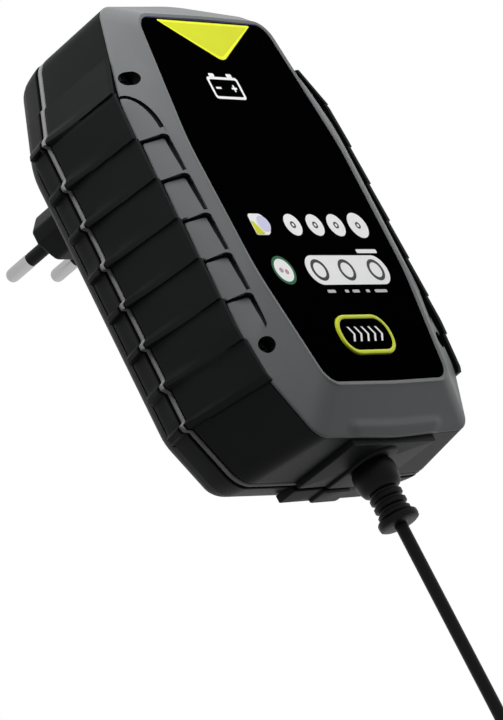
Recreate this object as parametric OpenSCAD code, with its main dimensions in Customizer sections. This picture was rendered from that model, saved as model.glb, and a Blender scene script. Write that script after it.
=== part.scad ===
// Plug-in battery charger: grey front cover with a glossy fascia, black middle shell with
// stepped grips, rear cover with a two-pin mains plug, and an output lead with a connector.
// X points right seen from the front, Y points back into the socket, Z points up.
// The origin is the centre of the plug's face, between its two pins.

/* [Body] */
// Width of the case at its widest, without the grips
body_w = 85; // [83:1:92]
// Height of the case
body_h = 134; // [128:1:146]
// Height above the case's middle at which the sides draw in towards the top
head_z = 35.5; // [33:0.5:38]
// How far the upper corners are drawn in
head_in = 11.9; // [10:0.1:13]
// How far the upper corners lie below the top
head_drop = 2.3; // [1.5:0.1:3]
// Depth below the case's middle at which the sides draw in towards the bottom
foot_z = 47.5; // [45:0.5:50]
// How far the lower corners are drawn in
foot_in = 10; // [8:0.1:12]
// How far the lower corners lie above the bottom
foot_rise = 1.2; // [0.8:0.1:2]
// How much narrower each side is at its lower end
side_in = 1.6; // [1:0.1:2.4]
// Wall thickness of the shells
wall = 2.5; // [2:0.1:3]
// Depth of the front cover's crown, from its rim to the fascia
front_d = 6.5; // [6:0.1:7]
// Depth of the middle shell
shell_d = 22.1; // [21.8:0.1:24]
// Thickness of the sealing ring between the middle shell and the rear cover
gasket_t = 1.1; // [0.8:0.1:1.6]
// Depth of the rear cover
rear_d = 11.4; // [11:0.1:14]

/* [Sides] */
// How far the sides stand beyond the front rim at the seam, near the head
side_out = 5.7; // [5:0.1:6.4]
// How far the sides stand beyond the front rim at the seam, near the foot
foot_out = 8.7; // [7.6:0.1:9.2]
// Distance from the case's middle up to the top of the grips
grip_top = 47.8; // [46:0.1:50]
// Distance from the case's middle up to the first step
step_first = 36.6; // [35:0.1:38]
// Height of the first step's plain band
step_lead = 13.8; // [13:0.1:15]
// Height of each of the equal steps
step_pitch = 12; // [11:0.1:12.4]
// Number of equal steps below the first
step_count = 6; // [4:1:6]
// Set-back of the grips behind the front cover's rim
grip_ledge = 0.2; // [0.1:0.1:0.8]
// How far the grips stand out of the case at their front
grip_front = 2.5; // [1.8:0.1:2.8]
// How far each step flares beyond the grip's front
flare_front = 0.8; // [0.6:0.1:1.4]
// How far the grips' faces stand out of the shells at the seam
grip_proud = 0.2; // [0.15:0.05:0.4]
// How far the lip of each step stands out at the seam
lip_rear = 2; // [1.4:0.1:2.4]
// How far the grips run on behind the seam
grip_tail = 6.6; // [5:0.1:7]

/* [Front] */
// Width of the fascia at its widest
fascia_w = 64.6; // [60:0.2:66]
// Height of the fascia
fascia_h = 112; // [108:1:114]
// Height of the fascia's middle above the case's middle
fascia_z = 2.3; // [1:0.1:4]
// How far the fascia's upper corners are drawn in
fascia_head_in = 4.9; // [4:0.1:6]
// How far the fascia's lower corners are drawn in
fascia_foot_in = 6.5; // [5:0.1:8]
// Thickness of the fascia
fascia_t = 0.8; // [0.6:0.1:1.1]
// Depth of the notches in the front cover
notch_deep = 1.5; // [1:0.1:1.6]
// Width of the notches from the case's edge
notch_w = 5.2; // [4.6:0.1:5.4]

/* [Button] */
// Width of the mode button
button_w = 22.6; // [20:0.2:26]
// Height of the mode button
button_h = 11.8; // [10:0.2:14]
// Distance from the case's middle down to the button
button_down = 40; // [39:0.1:41]
// Travel of the button
button_travel = 0.6; // [0.4:0.1:0.8]
// Gap around the button
button_gap = 0.25; // [0.2:0.05:0.4]

/* [Plug] */
// Height of the plug's centre above the case's middle
plug_up = 33.5; // [32:0.5:36]
// How far the plug body stands out of the rear cover
plug_d = 26.4; // [20:0.1:28]
// Width of the plug body
plug_w = 35.3; // [33:0.1:36]
// Height of the plug body
plug_h = 13.7; // [13:0.1:15]
// Width of the flats of the plug body
plug_flat = 26.1; // [24:0.1:27]
// Distance between the pins
pin_pitch = 18.6; // [17.8:0.1:19]
// Diameter of the pins
pin_d = 4; // [3.8:0.1:4.4]
// Length of the pins beyond the plug's face
pin_l = 19; // [18.5:0.1:20]
// Length of the insulating sleeves
sleeve_l = 10; // [9:0.1:11]

/* [Output lead] */
// Diameter of the lead
cord_d = 3.4; // [3.2:0.1:3.4]
// Distance from the front cover's rim back to the lead
cord_back = 11; // [10.5:0.1:11.5]
// Length of the strain relief below the outlet
relief_l = 17.5; // [17:0.5:21]
// Diameter of the strain relief's barrel
relief_d = 12; // [11:0.1:12.5]
// Number of turns in the stored coil
coil_turns = 11.25; // [9.25:1:11.25]
// Radius of the coil's outermost turn
coil_r = 25; // [25:0.5:27]
// Spacing of the coil's turns
coil_pitch = 3.9; // [3.9:0.05:4]

/* [Boards] */
// Thickness of the circuit boards
board_t = 1.6; // [1.2:0.1:1.8]
// Width of the control board
control_w = 62; // [58:1:64]
// Height of the control board
control_h = 58; // [56:1:60]
// Distance of the main board from the case's side
board_in = 10.5; // [10:0.1:12]
// Height of the main board
main_h = 80; // [78:1:81]

/* [Fasteners] */
// Distance of the case screws from the case's side
screw_in = 4.8; // [4.6:0.1:5.6]
// Height of the upper case screws above the case's middle
screw_up = 40.9; // [40:0.1:42]
// Distance of the lower case screws below the case's middle
screw_down = 39.8; // [38.5:0.1:40.5]
// Radius of the case screws' shanks
screw_r = 1.2; // [1:0.1:1.4]
// Radius of the case screws' heads
screw_head_r = 2.1; // [1.9:0.1:2.2]

/* [Hidden] */

fit_gap = 0.05;
part_gap = 0.2;
eps = 0.01;

// Depths, measured back from the front cover's rim
gasket_y = shell_d;
rear_y = gasket_y + gasket_t;
back_y = rear_y + rear_d;
plug_y = back_y + plug_d;
fascia_y = -front_d;
fascia_back = fascia_y + fascia_t;
front_in = fascia_back + 1.6;
crease_y = fascia_y * 0.8;

half_w = body_w / 2;
screw_x = half_w - screw_in;
half_h = body_h / 2;
bottom_z = -half_h;

// Rounded outlines: corners [x, z, radius] of the right half from the bottom up, mirrored
arc_n = 7;
case_corners = [[0, -half_h, 150], [half_w - foot_in, foot_rise - half_h, 6.5],
    [half_w - side_in, -foot_z, 14], [half_w, head_z, 22], [half_w - head_in, half_h - head_drop, 6.5],
    [0, half_h, 90]];
seam_corners = [[0, -half_h, 150], [half_w - foot_in + foot_out - 1, foot_rise - half_h, 8],
    [half_w - side_in + foot_out, -foot_z, 14], [half_w + side_out, head_z, 22],
    [half_w - head_in + side_out - 1.6, half_h - head_drop - 1.4, 8], [0, half_h, 90]];
fascia_corners = [[0, fascia_z - fascia_h / 2, 300],
    [fascia_w / 2 - fascia_foot_in, fascia_z - fascia_h / 2 + 0.4, 5],
    [fascia_w / 2 - 0.6, fascia_z - fascia_h * 0.2, 70], [fascia_w / 2, fascia_z + fascia_h * 0.15, 70],
    [fascia_w / 2 - fascia_head_in, fascia_z + fascia_h / 2 - 0.4, 5],
    [0, fascia_z + fascia_h / 2, 300]];
function both_sides(half) = concat(half,
    [for (i = [len(half) - 2:-1:1]) [-half[i][0], half[i][1], half[i][2]]]);
function unit(v) = v / norm(v);
function turned(v, a) = [v[0] * cos(a) - v[1] * sin(a), v[0] * sin(a) + v[1] * cos(a)];
function corner_arc(a, p, b, r, inset) =
    let (u = unit([a[0] - p[0], a[1] - p[1]]))
    let (v = unit([b[0] - p[0], b[1] - p[1]]))
    let (half = acos(u * v) / 2)
    let (centre = [p[0], p[1]] + unit(u + v) * r / sin(half))
    let (start = turned(-unit(u + v), half - 90))
    [for (k = [0:arc_n - 1])
        centre + (r - inset) * turned(start, (180 - 2 * half) * k / (arc_n - 1))];
function rounded(half, inset) =
    let (c = both_sides(half))
    let (n = len(c))
    [for (i = [0:n - 1]) each corner_arc(c[(i + n - 1) % n], c[i], c[(i + 1) % n], c[i][2], inset)];
function outline(inset) = rounded(case_corners, inset);
function seam_outline(inset) = rounded(seam_corners, inset);
function fascia_outline(grow) = rounded(fascia_corners, -grow);
// Half the case's width at a height, without its rounding
side_table = [for (i = [1:4]) [case_corners[i][1], case_corners[i][0]]];
function side_w(z) = lookup(z, side_table);
seam_table = [for (i = [1:4]) [seam_corners[i][1], seam_corners[i][0]]];
function seam_w(z) = lookup(z, seam_table);

// A ring between the case outline and the fascia outline
function blend_ring(share, inset, grow) =
    let (a = outline(inset))
    let (b = fascia_outline(grow))
    [for (i = [0:len(a) - 1]) (1 - share) * a[i] + share * b[i]];

// Stepped grips: the heights of the steps, from the top down
steps = [step_first, for (i = [0:step_count]) step_first - step_lead - i * step_pitch];
grip_in = 4;
module each_side() {
    children();
    mirror([1, 0, 0]) children();
}
// One step from height z1 down to its lip above z0. An end of the grips is given as
// [y, whether it follows the seam, stand-out, flare, lip]
lip_h = 1.5;
lip_slope = 1.2;
function step_outline(z1, z0, e) =
    let (reach = function (z) (e[1] ? seam_w(z) : side_w(z)) + e[2] + e[3] * (z1 - z) / (z1 - z0))
    let (lip_z = z0 + lip_h)
    [[reach(lip_z + lip_slope), lip_z + lip_slope], [reach(z1), z1], [reach(z1) - grip_in, z1],
        [reach(z0) - grip_in, z0], [reach(z0) + e[4], z0], [reach(lip_z) + e[4], lip_z]];
module grips(rear, front) {
    tops = [grip_top, each steps];
    each_side()
        for (i = [0:len(steps) - 1])
            skin([for (e = [rear, front]) [e[0], step_outline(tops[i], tops[i + 1], e)]]);
}
grip_start = [grip_ledge, false, grip_front, flare_front, 0];
grip_end = [rear_y + grip_tail, true, grip_proud - 1.4, 0, lip_rear - 0.4];
function grip_seam(y) = [y, true, grip_proud, 0, lip_rear];

// Extrudes a front-view shape from y0 back to y1
module deep(y0, y1) {
    translate([0, y1, 0]) rotate([90, 0, 0]) linear_extrude(y1 - y0) children();
}
// A rod along Y, from y0 back to y1
module rod_y(x, z, r, y0, y1) {
    translate([x, y0, z]) rotate([-90, 0, 0]) cylinder(r = r, h = y1 - y0, $fn = 32);
}
// A box given by its lowest and highest corners
module box(a, b) {
    translate(a) cube(b - a);
}
// A closed skin over rings of equal count, each given as [y, points]; each ring's first point
// sees all its others
module skin(rings) {
    n = len(rings[0][1]);
    last = len(rings) - 1;
    pts = [for (ring = rings) for (p = ring[1]) [p[0], ring[0], p[1]]];
    polyhedron(pts, concat(
        [[for (i = [0:n - 1]) i]],
        [for (k = [0:last - 1]) for (i = [0:n - 1])
            [k * n + i, (k + 1) * n + i, (k + 1) * n + (i + 1) % n, k * n + (i + 1) % n]],
        [[for (i = [n:-1:1]) last * n + i % n]]), convexity = 6);
}
// Moves the case, drawn about its middle, so that the plug's face is at the origin
module place() {
    translate([0, -plug_y, -plug_up]) children();
}
module at_case_screws() {
    for (x = [-screw_x, screw_x])
        for (z = [screw_up, -screw_down])
            translate([x, 0, z]) children();
}
// A slot-shaped front view, w wide and h high, with round ends of radius r at its corners
module slot_2d(w, h, r) {
    square([w, h - 2 * r], center = true);
    square([w - 2 * r, h], center = true);
    for (x = [-1, 1])
        for (z = [-1, 1])
            translate([x * (w / 2 - r), z * (h / 2 - r)]) circle(r = r, $fn = 24);
}

// Front cover
boss_r = 3.3;
boss_front = 4;
head_seat = 1.2;
head_h = 1.9;
window_r = 1.6;
row_1_z = -6.4;
row_2_z = -20.3;
windows = [[-6.9, row_1_z], [2.5, row_1_z], [11.8, row_1_z], [21.4, row_1_z],
    [-20.8, row_2_z], [-5.7, row_2_z], [6.2, row_2_z], [19, row_2_z]];
button_x = -0.5;
button_z = -button_down;
button_round = 5.4;
post_r = 2.4;
post_x = control_w / 2 - 3.5;
control_top = button_z + 47;
control_low = control_top - control_h;
post_up = control_top - 4;
post_low = control_low + 4;
control_y = fascia_y + 9.3;
small_screw_r = 1;
small_head_r = 1.9;
module at_control_posts() {
    for (x = [-post_x, post_x])
        for (z = [post_low, post_up])
            translate([x, 0, z]) children();
}
crease = 0.62;
rim = 1.2;
band_w = crease * (half_w - fascia_w / 2 - rim);
module notches() {
    notch_gap = 1;
    front_y = crease_y * notch_w / band_w;
    slope = atan((-front_y - notch_deep) / notch_w);
    each_side()
        for (i = [0:step_count - 1]) {
            high = steps[i] - steps[i + 1] - notch_gap;
            translate([side_w(steps[i]) - notch_w, front_y + notch_deep, steps[i] - notch_gap])
                rotate([-atan(notch_deep / high), 0, slope])
                    translate([0, -2 * notch_deep, -high])
                        notch(high, i == 0 ? [notch_w, high * 0.85] : [1.5, 1.5]);
        }
}
// A notch, high mm high, whose upper inner corner is a quarter ellipse, dome wide and high
module notch(high, dome) {
    cube([2 * notch_w, 2 * notch_deep, high - dome[1]]);
    translate([dome[0], 0, 0]) cube([2 * notch_w - dome[0], 2 * notch_deep, high]);
    translate([dome[0], 0, high - dome[1]]) scale([1, 1, dome[1] / dome[0]]) rotate([-90, 0, 0])
        cylinder(r = dome[0], h = 2 * notch_deep, $fn = 48);
}
module front_cover() color("#6f7273") place() {
    difference() {
        union() {
            difference() {
                skin([[0, outline(0)], [crease_y, blend_ring(crease, 0, rim)],
                    [fascia_y, blend_ring(1, 0, rim)]]);
                skin([[eps, outline(wall)], [crease_y + wall, blend_ring(crease, wall, 0)],
                    [front_in, blend_ring(1, 0, -wall)]]);
                notches();
            }
            at_case_screws() rod_y(0, 0, boss_r, -0.5, boss_front - part_gap);
            at_control_posts() rod_y(0, 0, post_r, front_in - eps, control_y);
        }
        deep(fascia_y - 1, fascia_back) polygon(fascia_outline(part_gap / 2));
        at_case_screws() rod_y(0, 0, screw_head_r + part_gap, fascia_y - 1, head_seat);
        at_case_screws() rod_y(0, 0, screw_r + part_gap, 0, boss_front + 1);
        at_control_posts() rod_y(0, 0, small_screw_r + fit_gap, front_in + 0.4, control_y + 1);
        for (w = windows) rod_y(w[0], w[1], window_r + fit_gap, fascia_y, front_in + 1);
        deep(fascia_y, front_in + 1) translate([button_x, button_z])
            slot_2d(button_w + 2 * button_gap, button_h + 2 * button_gap, button_round);
    }
}

// Fascia: a glossy panel set flush in the front cover
module fascia_panel() color("#0a0a0c") place() {
    difference() {
        deep(fascia_y, fascia_back) polygon(fascia_outline(0));
        deep(fascia_y - 1, fascia_back + 1) translate([button_x, button_z])
            slot_2d(button_w + 2 * button_gap, button_h + 2 * button_gap, button_round);
    }
}

// Clear plate with a light guide under each window
guide_t = 1.2;
guide_y = front_in + guide_t;
module light_guides() color("#dfe6ea") place() {
    box([-24.5, front_in, row_2_z - 3.5], [25, guide_y, row_1_z + 3.5]);
    for (w = windows) rod_y(w[0], w[1], window_r, fascia_back, front_in + eps);
}

// Mode button, with a flange behind the front cover and a stem on the switch
flange_out = 1.2;
flange_t = 0.8;
flange_y = front_in + 0.3;
ring_w = 1.5;
ring_deep = 0.6;
button_y = fascia_y - 0.4;
plunger_y = control_y - 4;
plunger_gap = 0.1;
stem_r = 2.2;
module button_face(shrink) {
    translate([button_x, button_z])
        slot_2d(button_w - 2 * shrink, button_h - 2 * shrink, button_round - shrink);
}
module mode_button() color("#101113") place() {
    difference() {
        union() {
            deep(button_y, flange_y + eps) button_face(0);
            deep(flange_y, flange_y + flange_t) button_face(-flange_out);
            rod_y(button_x, button_z, stem_r, flange_y + flange_t - eps, plunger_y - plunger_gap);
        }
        deep(button_y - 1, button_y + ring_deep) difference() {
            button_face(-1);
            button_face(ring_w);
        }
    }
}
module button_ring() color("#b4c23a") place() {
    deep(button_y, button_y + ring_deep) difference() {
        button_face(0);
        button_face(ring_w - fit_gap);
    }
}

// Tact switch on the control board
switch_w = 6;
plunger_r = 1.7;
plunger_in = 1.6;
switch_y = control_y - 3.1;
module switch_body() color("#2b2b2e") place() {
    difference() {
        box([button_x - switch_w / 2, switch_y, button_z - switch_w / 2],
            [button_x + switch_w / 2, control_y, button_z + switch_w / 2]);
        rod_y(button_x, button_z, plunger_r + fit_gap + fit_gap, switch_y - 1,
            switch_y + plunger_in + button_travel + part_gap);
    }
}
module switch_plunger() color("#c9c9cc") place() {
    rod_y(button_x, button_z, plunger_r, plunger_y, switch_y + plunger_in);
}

// Light-emitting diodes under the light guides
led_r = 1.5;
led_flange_r = 1.8;
module status_leds() color("#e9efe9") place() {
    for (w = windows) {
        rod_y(w[0], w[1], led_r, guide_y + 0.3, control_y);
        rod_y(w[0], w[1], led_flange_r, control_y - 0.8, control_y);
    }
}

module control_board() color("#1f6b3a") place() {
    difference() {
        box([-control_w / 2, control_y, control_low], [control_w / 2, control_y + board_t, control_top]);
        at_control_posts() rod_y(0, 0, small_screw_r + part_gap, control_y - 1, control_y + board_t + 1);
    }
}
module control_chip() color("#1b1b1d") place() {
    chip_w = 9;
    chip_t = 1.4;
    leg_w = 0.5;
    y0 = control_y + board_t;
    box([-chip_w / 2 - 12, y0 + 0.1, button_z + 18], [chip_w / 2 - 12, y0 + chip_t, button_z + 18 + chip_w]);
    for (i = [0:7])
        box([-chip_w / 2 - 13, y0, button_z + 18.5 + i * 1.05],
            [chip_w / 2 - 11, y0 + 0.4, button_z + 18.5 + i * 1.05 + leg_w]);
}
small_head_t = 1.4;
small_screw_l = 5;
module control_screws() color("#b9bcc0") place() {
    y0 = control_y + board_t;
    at_control_posts() {
        rod_y(0, 0, small_head_r, y0, y0 + small_head_t);
        rod_y(0, 0, small_screw_r, y0 - small_screw_l, y0 + eps);
    }
}

// Main board and what stands on it; parts stand forward from its face at main_y
main_y = rear_y + 2.4;
main_w = body_w - 2 * board_in;
main_top = plug_up - plug_h / 2 - 4;
main_low = main_top - main_h;
link_x = 14;
link_z = control_low + 6;
link_t = 2.4;
module board_link() color("#26262a") place() {
    pins = 6;
    pin_step = 2.54;
    long = pins * pin_step;
    y0 = control_y + board_t;
    box([link_x - long / 2, y0, link_z - link_t / 2], [link_x + long / 2, y0 + 5, link_z + link_t / 2]);
    box([link_x - long / 2, main_y - 5, link_z - link_t / 2], [link_x + long / 2, main_y, link_z + link_t / 2]);
    for (i = [0:pins - 1])
        rod_y(link_x - long / 2 + (i + 0.5) * pin_step, link_z, 0.35, y0 + 5 - eps, main_y - 5 + eps);
}

// Middle shell: a ring with stepped grips, screw tubes and the lead's outlet
pad_w = 36;
pad_out = 1;
outlet_w = 12;
outlet_out = 1.8;
outlet_front = 2.3;
outlet_z = bottom_z - outlet_out;
outlet_end = rear_y + 6;
relief_neck_r = 4;
relief_in_r = 5.6;
relief_in_h = 2;
wall_in_z = bottom_z + wall;
module outlet_block(y0, y1) {
    box([-pad_w / 2, max(y0, 0.8), bottom_z - pad_out], [pad_w / 2, y1, bottom_z + wall / 2]);
    box([-outlet_w / 2, max(y0, outlet_front + outlet_w / 2), outlet_z],
        [outlet_w / 2, y1, bottom_z + wall / 2]);
}
module mid_shell() color("#232525") place() {
    tube_r = 3.5;
    web_t = 1.6;
    difference() {
        union() {
            skin([[shell_d, seam_outline(0)], [0, outline(0)]]);
            grips(grip_seam(shell_d), grip_start);
            outlet_block(0, shell_d);
            translate([0, outlet_front + outlet_w / 2, outlet_z])
                cylinder(r = outlet_w / 2, h = outlet_out + wall / 2, $fn = 48);
        }
        difference() {
            skin([[shell_d + eps, seam_outline(wall)], [-eps, outline(wall)]]);
            at_case_screws() rod_y(0, 0, tube_r, boss_front, shell_d + 1);
            each_side()
                for (z = [screw_up, -screw_down])
                    box([screw_x, boss_front, z - web_t / 2], [half_w + side_out, shell_d + 1, z + web_t / 2]);
            box([-boss_r - 8, cord_back + 4, bottom_z], [boss_r + 8, cord_back + 9, clamp_z - clamp_low]);
        }
        at_case_screws() rod_y(0, 0, screw_r + part_gap, boss_front - 1, shell_d + 1);
        at_case_screws() rod_y(0, 0, boss_r + part_gap, -1, boss_front);
        translate([0, cord_back, outlet_z - 1]) cylinder(r = relief_neck_r + fit_gap, h = 10, $fn = 48);
        translate([0, cord_back, wall_in_z]) cylinder(r = relief_in_r + fit_gap, h = relief_in_h, $fn = 48);
        for (x = [-clamp_screw_x, clamp_screw_x])
            rod_y(x, clamp_z - 4, small_screw_r + fit_gap, cord_back + 3, cord_back + 8);
    }
}

// Sealing ring in the seam
gasket_w = 1.8;
module seam_gasket() color("#8a8d8e") place() {
    difference() {
        union() {
            deep(gasket_y, rear_y) polygon(seam_outline(0));
            grips(grip_seam(rear_y), grip_seam(gasket_y));
            outlet_block(gasket_y, rear_y);
        }
        deep(gasket_y - 1, rear_y + 1) polygon(seam_outline(gasket_w));
    }
}

// Rear cover, rounded towards its back
plate_w = 46;
plate_h = 34;
plate_t = 0.4;
plate_z = -22;
main_post_x = main_w / 2 - 4;
module at_main_posts() {
    for (x = [-main_post_x, main_post_x])
        for (z = [main_low + 4, main_top - 4])
            translate([x, 0, z]) children();
}
module plug_profile(grow) {
    h = plug_h / 2 + grow;
    w = plug_w / 2 + grow;
    f = plug_flat / 2 + grow / 2;
    tip = 2;
    polygon([[-w, plug_up - tip], [-f, plug_up - h], [f, plug_up - h], [w, plug_up - tip],
        [w, plug_up + tip], [f, plug_up + h], [-f, plug_up + h], [-w, plug_up + tip]]);
}
rear_in = back_y - wall;
insert_flange_t = 2;
module rear_cover() color("#1c1d1e") place() {
    round_in = 7;
    difference() {
        union() {
            skin([[back_y, seam_outline(round_in)], [back_y - 1.5, seam_outline(round_in * 0.55)],
                [back_y - 4.5, seam_outline(1.5)], [rear_y, seam_outline(0)]]);
            grips(grip_end, grip_seam(rear_y));
            outlet_block(rear_y, outlet_end);
        }
        difference() {
            deep(rear_y - 1, rear_in) polygon(seam_outline(round_in));
            at_case_screws() rod_y(0, 0, boss_r, rear_y, rear_in + 1);
            at_main_posts() rod_y(0, 0, post_r, main_y + board_t, rear_in + 1);
        }
        at_case_screws() rod_y(0, 0, screw_r + fit_gap, rear_y - 1, rear_in - 1);
        at_main_posts() rod_y(0, 0, small_screw_r + fit_gap, rear_y, rear_in - 0.5);
        deep(rear_in - 1, back_y + 1) plug_profile(fit_gap);
        box([-plate_w / 2, back_y - plate_t, plate_z - plate_h / 2],
            [plate_w / 2, back_y + 1, plate_z + plate_h / 2]);
    }
}
module rating_plate() color("#b7babc") place() {
    box([-plate_w / 2 + part_gap, back_y - plate_t, plate_z - plate_h / 2 + part_gap],
        [plate_w / 2 - part_gap, back_y, plate_z + plate_h / 2 - part_gap]);
}

// Mains plug: body, pins and sleeves
pin_core_r = pin_d / 2 - 0.6;
sleeve_r = pin_d / 2;
seat_r = sleeve_r - 0.25;
seat_l = 3;
pin_inner_y = rear_in - insert_flange_t - 3;
tip_round = 1;
module plug_insert() color("#17181a") place() {
    difference() {
        union() {
            deep(rear_in - eps, plug_y) plug_profile(0);
            deep(rear_in - insert_flange_t, rear_in) plug_profile(1.5);
        }
        for (x = [-pin_pitch / 2, pin_pitch / 2]) {
            rod_y(x, plug_up, pin_core_r + fit_gap, rear_in - insert_flange_t - 1, plug_y);
            rod_y(x, plug_up, sleeve_r + fit_gap, plug_y - seat_l - fit_gap, plug_y + 1);
        }
    }
}
module plug_pin(x) color("#c8cacc") place() {
    y2 = plug_y + pin_l;
    translate([x, pin_inner_y, plug_up]) rotate([-90, 0, 0]) rotate_extrude($fn = 48)
        polygon([[0, 0], [pin_core_r, 0], [pin_core_r, plug_y + sleeve_l - pin_inner_y],
            [pin_d / 2, plug_y + sleeve_l - pin_inner_y], [pin_d / 2, y2 - tip_round - pin_inner_y],
            [pin_d / 2 - 0.4, y2 - 0.3 - pin_inner_y], [pin_d / 2 - tip_round, y2 - pin_inner_y],
            [0, y2 - pin_inner_y]]);
}
module plug_pin_left() plug_pin(-pin_pitch / 2);
module plug_pin_right() plug_pin(pin_pitch / 2);
module pin_sleeve(x) color("#1a1a1c") place() {
    difference() {
        union() {
            rod_y(x, plug_up, sleeve_r, plug_y, plug_y + sleeve_l);
            rod_y(x, plug_up, seat_r, plug_y - seat_l, plug_y + eps);
        }
        rod_y(x, plug_up, pin_core_r + fit_gap, plug_y - seat_l - 1, plug_y + sleeve_l + 1);
    }
}
module pin_sleeve_left() pin_sleeve(-pin_pitch / 2);
module pin_sleeve_right() pin_sleeve(pin_pitch / 2);

// Mains leads, soldered to the pins' inner ends and to the board's upper edge
lead_r = 0.9;
module mains_lead(side) color(side < 0 ? "#5a3a22" : "#2f5fa8") place() {
    x = side * pin_pitch / 2;
    y0 = pin_inner_y - lead_r;
    y1 = main_y - 2;
    z1 = main_top - 3;
    over_z = main_top + lead_r + part_gap;
    translate([x, y0, over_z]) cylinder(r = lead_r, h = plug_up - over_z + lead_r, $fn = 20);
    translate([x, y0, over_z]) sphere(r = lead_r, $fn = 20);
    rod_y(x, over_z, lead_r, y1, y0);
    translate([x, y1, z1]) cylinder(r = lead_r, h = over_z - z1, $fn = 20);
    translate([x, y1, over_z]) sphere(r = lead_r, $fn = 20);
    rod_y(x, z1 + lead_r, lead_r, y1, main_y);
}
module mains_lead_left() mains_lead(-1);
module mains_lead_right() mains_lead(1);

module main_board() color("#1c5f34") place() {
    difference() {
        box([-main_w / 2, main_y, main_low], [main_w / 2, main_y + board_t, main_top]);
        at_main_posts() rod_y(0, 0, small_screw_r + part_gap, main_y - 1, main_y + board_t + 1);
    }
}
module main_screws() color("#b9bcc0") place() {
    at_main_posts() {
        rod_y(0, 0, small_head_r, main_y - small_head_t, main_y);
        rod_y(0, 0, small_screw_r, main_y - eps, main_y + small_screw_l);
    }
}

// Parts on the main board, placed from its upper left corner
left_x = -main_w / 2;
module fuse() color("#d8dadb") place() {
    z = main_top - 12;
    long = 20;
    y = main_y - 3.2;
    translate([left_x + 13, y, z - long]) {
        cylinder(r = 2.4, h = long, $fn = 28);
        cylinder(r = 2.6, h = 5, $fn = 28);
        translate([0, 0, long - 5]) cylinder(r = 2.6, h = 5, $fn = 28);
    }
    for (dz = [2.5, long - 2.5]) rod_y(left_x + 13, z - long + dz, 0.8, y, main_y);
}
module varistor() color("#2b5c9e") place() {
    z = main_top - 10;
    translate([left_x + 22, main_y - 7.5, z]) rotate([0, 90, 0]) cylinder(r = 5.5, h = 4, $fn = 32);
    box([left_x + 23, main_y - 3, z - 3], [left_x + 25, main_y, z + 3]);
}
module emi_choke() color("#3a3d35") place() {
    z = main_top - 10.5;
    x = left_x + 38;
    translate([x, main_y - 10, z]) rotate([0, 90, 0]) rotate_extrude($fn = 40)
        translate([4, -4]) square([5, 8]);
    box([x - 4, main_y - 3, z - 6], [x + 4, main_y, z + 6]);
}
module suppressor_cap() color("#c9b23a") place() {
    box([left_x + 46, main_y - 12, main_top - 18], [left_x + 53, main_y, main_top - 4 - post_r]);
}
module bridge_rectifier() color("#1d1d1f") place() {
    x = left_x + 22;
    z = main_top - 26;
    box([x, main_y - 15, z], [x + 15, main_y - 3, z + 3.5]);
    for (i = [0:3]) box([x + 1.5 + i * 3.8, main_y - 3, z + 1.2], [x + 2.3 + i * 3.8, main_y, z + 2]);
}
module bulk_capacitor() color("#23262b") place() {
    rod_y(left_x + 9, main_top - 43, 6.3, main_y - 18, main_y);
}
core_x = -2;
core_z = main_top - 42;
core_w = 24;
core_h = 22;
core_d = 9;
leg_w = 7;
window_w = 5.5;
window_h = 14;
wind_y = main_y - 9;
module transformer_core() color("#3c3c3e") place() {
    difference() {
        box([core_x - core_w / 2, wind_y - core_d / 2, core_z - core_h / 2],
            [core_x + core_w / 2, wind_y + core_d / 2, core_z + core_h / 2]);
        for (s = [-1, 1])
            translate([core_x + s * (leg_w / 2 + window_w / 2), wind_y, core_z])
                cube([window_w, core_d + 1, window_h], center = true);
    }
}
module spool(w, d, h, inner) {
    difference() {
        translate([core_x, wind_y, core_z]) cube([w, d, h], center = true);
        translate([core_x, wind_y, core_z])
            cube([leg_w + inner, core_d + inner, h + 1], center = true);
    }
}
module transformer_bobbin() color("#c4b9a0") place() {
    cheek_t = 0.9;
    cheek_d = 17;
    spool(leg_w + 1.6, core_d + 1.6, window_h - 0.4, 0.2);
    for (s = [-1, 1])
        translate([0, 0, s * (window_h / 2 - 0.2 - cheek_t / 2)])
            spool(leg_w + 2 * window_w - 0.6, cheek_d, cheek_t, 0.2);
    for (s = [-1, 1])
        box([core_x - 3, wind_y + cheek_d / 2 - 1, core_z + s * (window_h / 2 - 0.65) - 0.45],
            [core_x + 3, main_y, core_z + s * (window_h / 2 - 0.65) + 0.45]);
}
module transformer_winding() color("#c9a227") place() {
    wind_h = window_h - 0.4 - 1.8 - 0.2;
    spool(leg_w + 2 * window_w - 1.2, 16, wind_h, 1.8);
}
sink_x = main_w / 2 - 9;
sink_z0 = main_top - 62;
module heatsink() color("#9a9da1") place() {
    box([sink_x, main_y - 16, sink_z0], [sink_x + 2, main_y, sink_z0 + 34]);
    for (i = [0:4])
        box([sink_x + 2 - eps, main_y - 16, sink_z0 + i * 8], [sink_x + 6, main_y - 1, sink_z0 + i * 8 + 2]);
}
module power_part(z) {
    t = 4;
    box([sink_x - t, main_y - 15, z], [sink_x, main_y - 4, z + 10]);
    for (i = [0:2]) box([sink_x - 2.4, main_y - 4 - eps, z + 1.5 + i * 3], [sink_x - 1.6, main_y, z + 2.3 + i * 3]);
}
module power_transistor() color("#1e1e20") place() power_part(sink_z0 + 20);
module output_diode() color("#242426") place() power_part(sink_z0 + 4);
module optocoupler() color("#1a1a1c") place() {
    x = left_x + 10;
    z = main_top - 60;
    box([x, main_y - 3.6, z], [x + 6.4, main_y - 0.4, z + 4.6]);
    for (dz = [0.8, 3.2]) box([x - 0.6, main_y - 1.5, z + dz], [x + 7, main_y, z + dz + 0.6]);
}
module output_relay() color("#e0e2e4") place() {
    relay_w = 16;
    relay_x = core_step + lead_r + part_gap;
    box([relay_x, main_y - 15, clamp_z - clamp_low + 0.4],
        [relay_x + relay_w, main_y, link_z - link_t / 2 - 0.4]);
}
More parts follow.
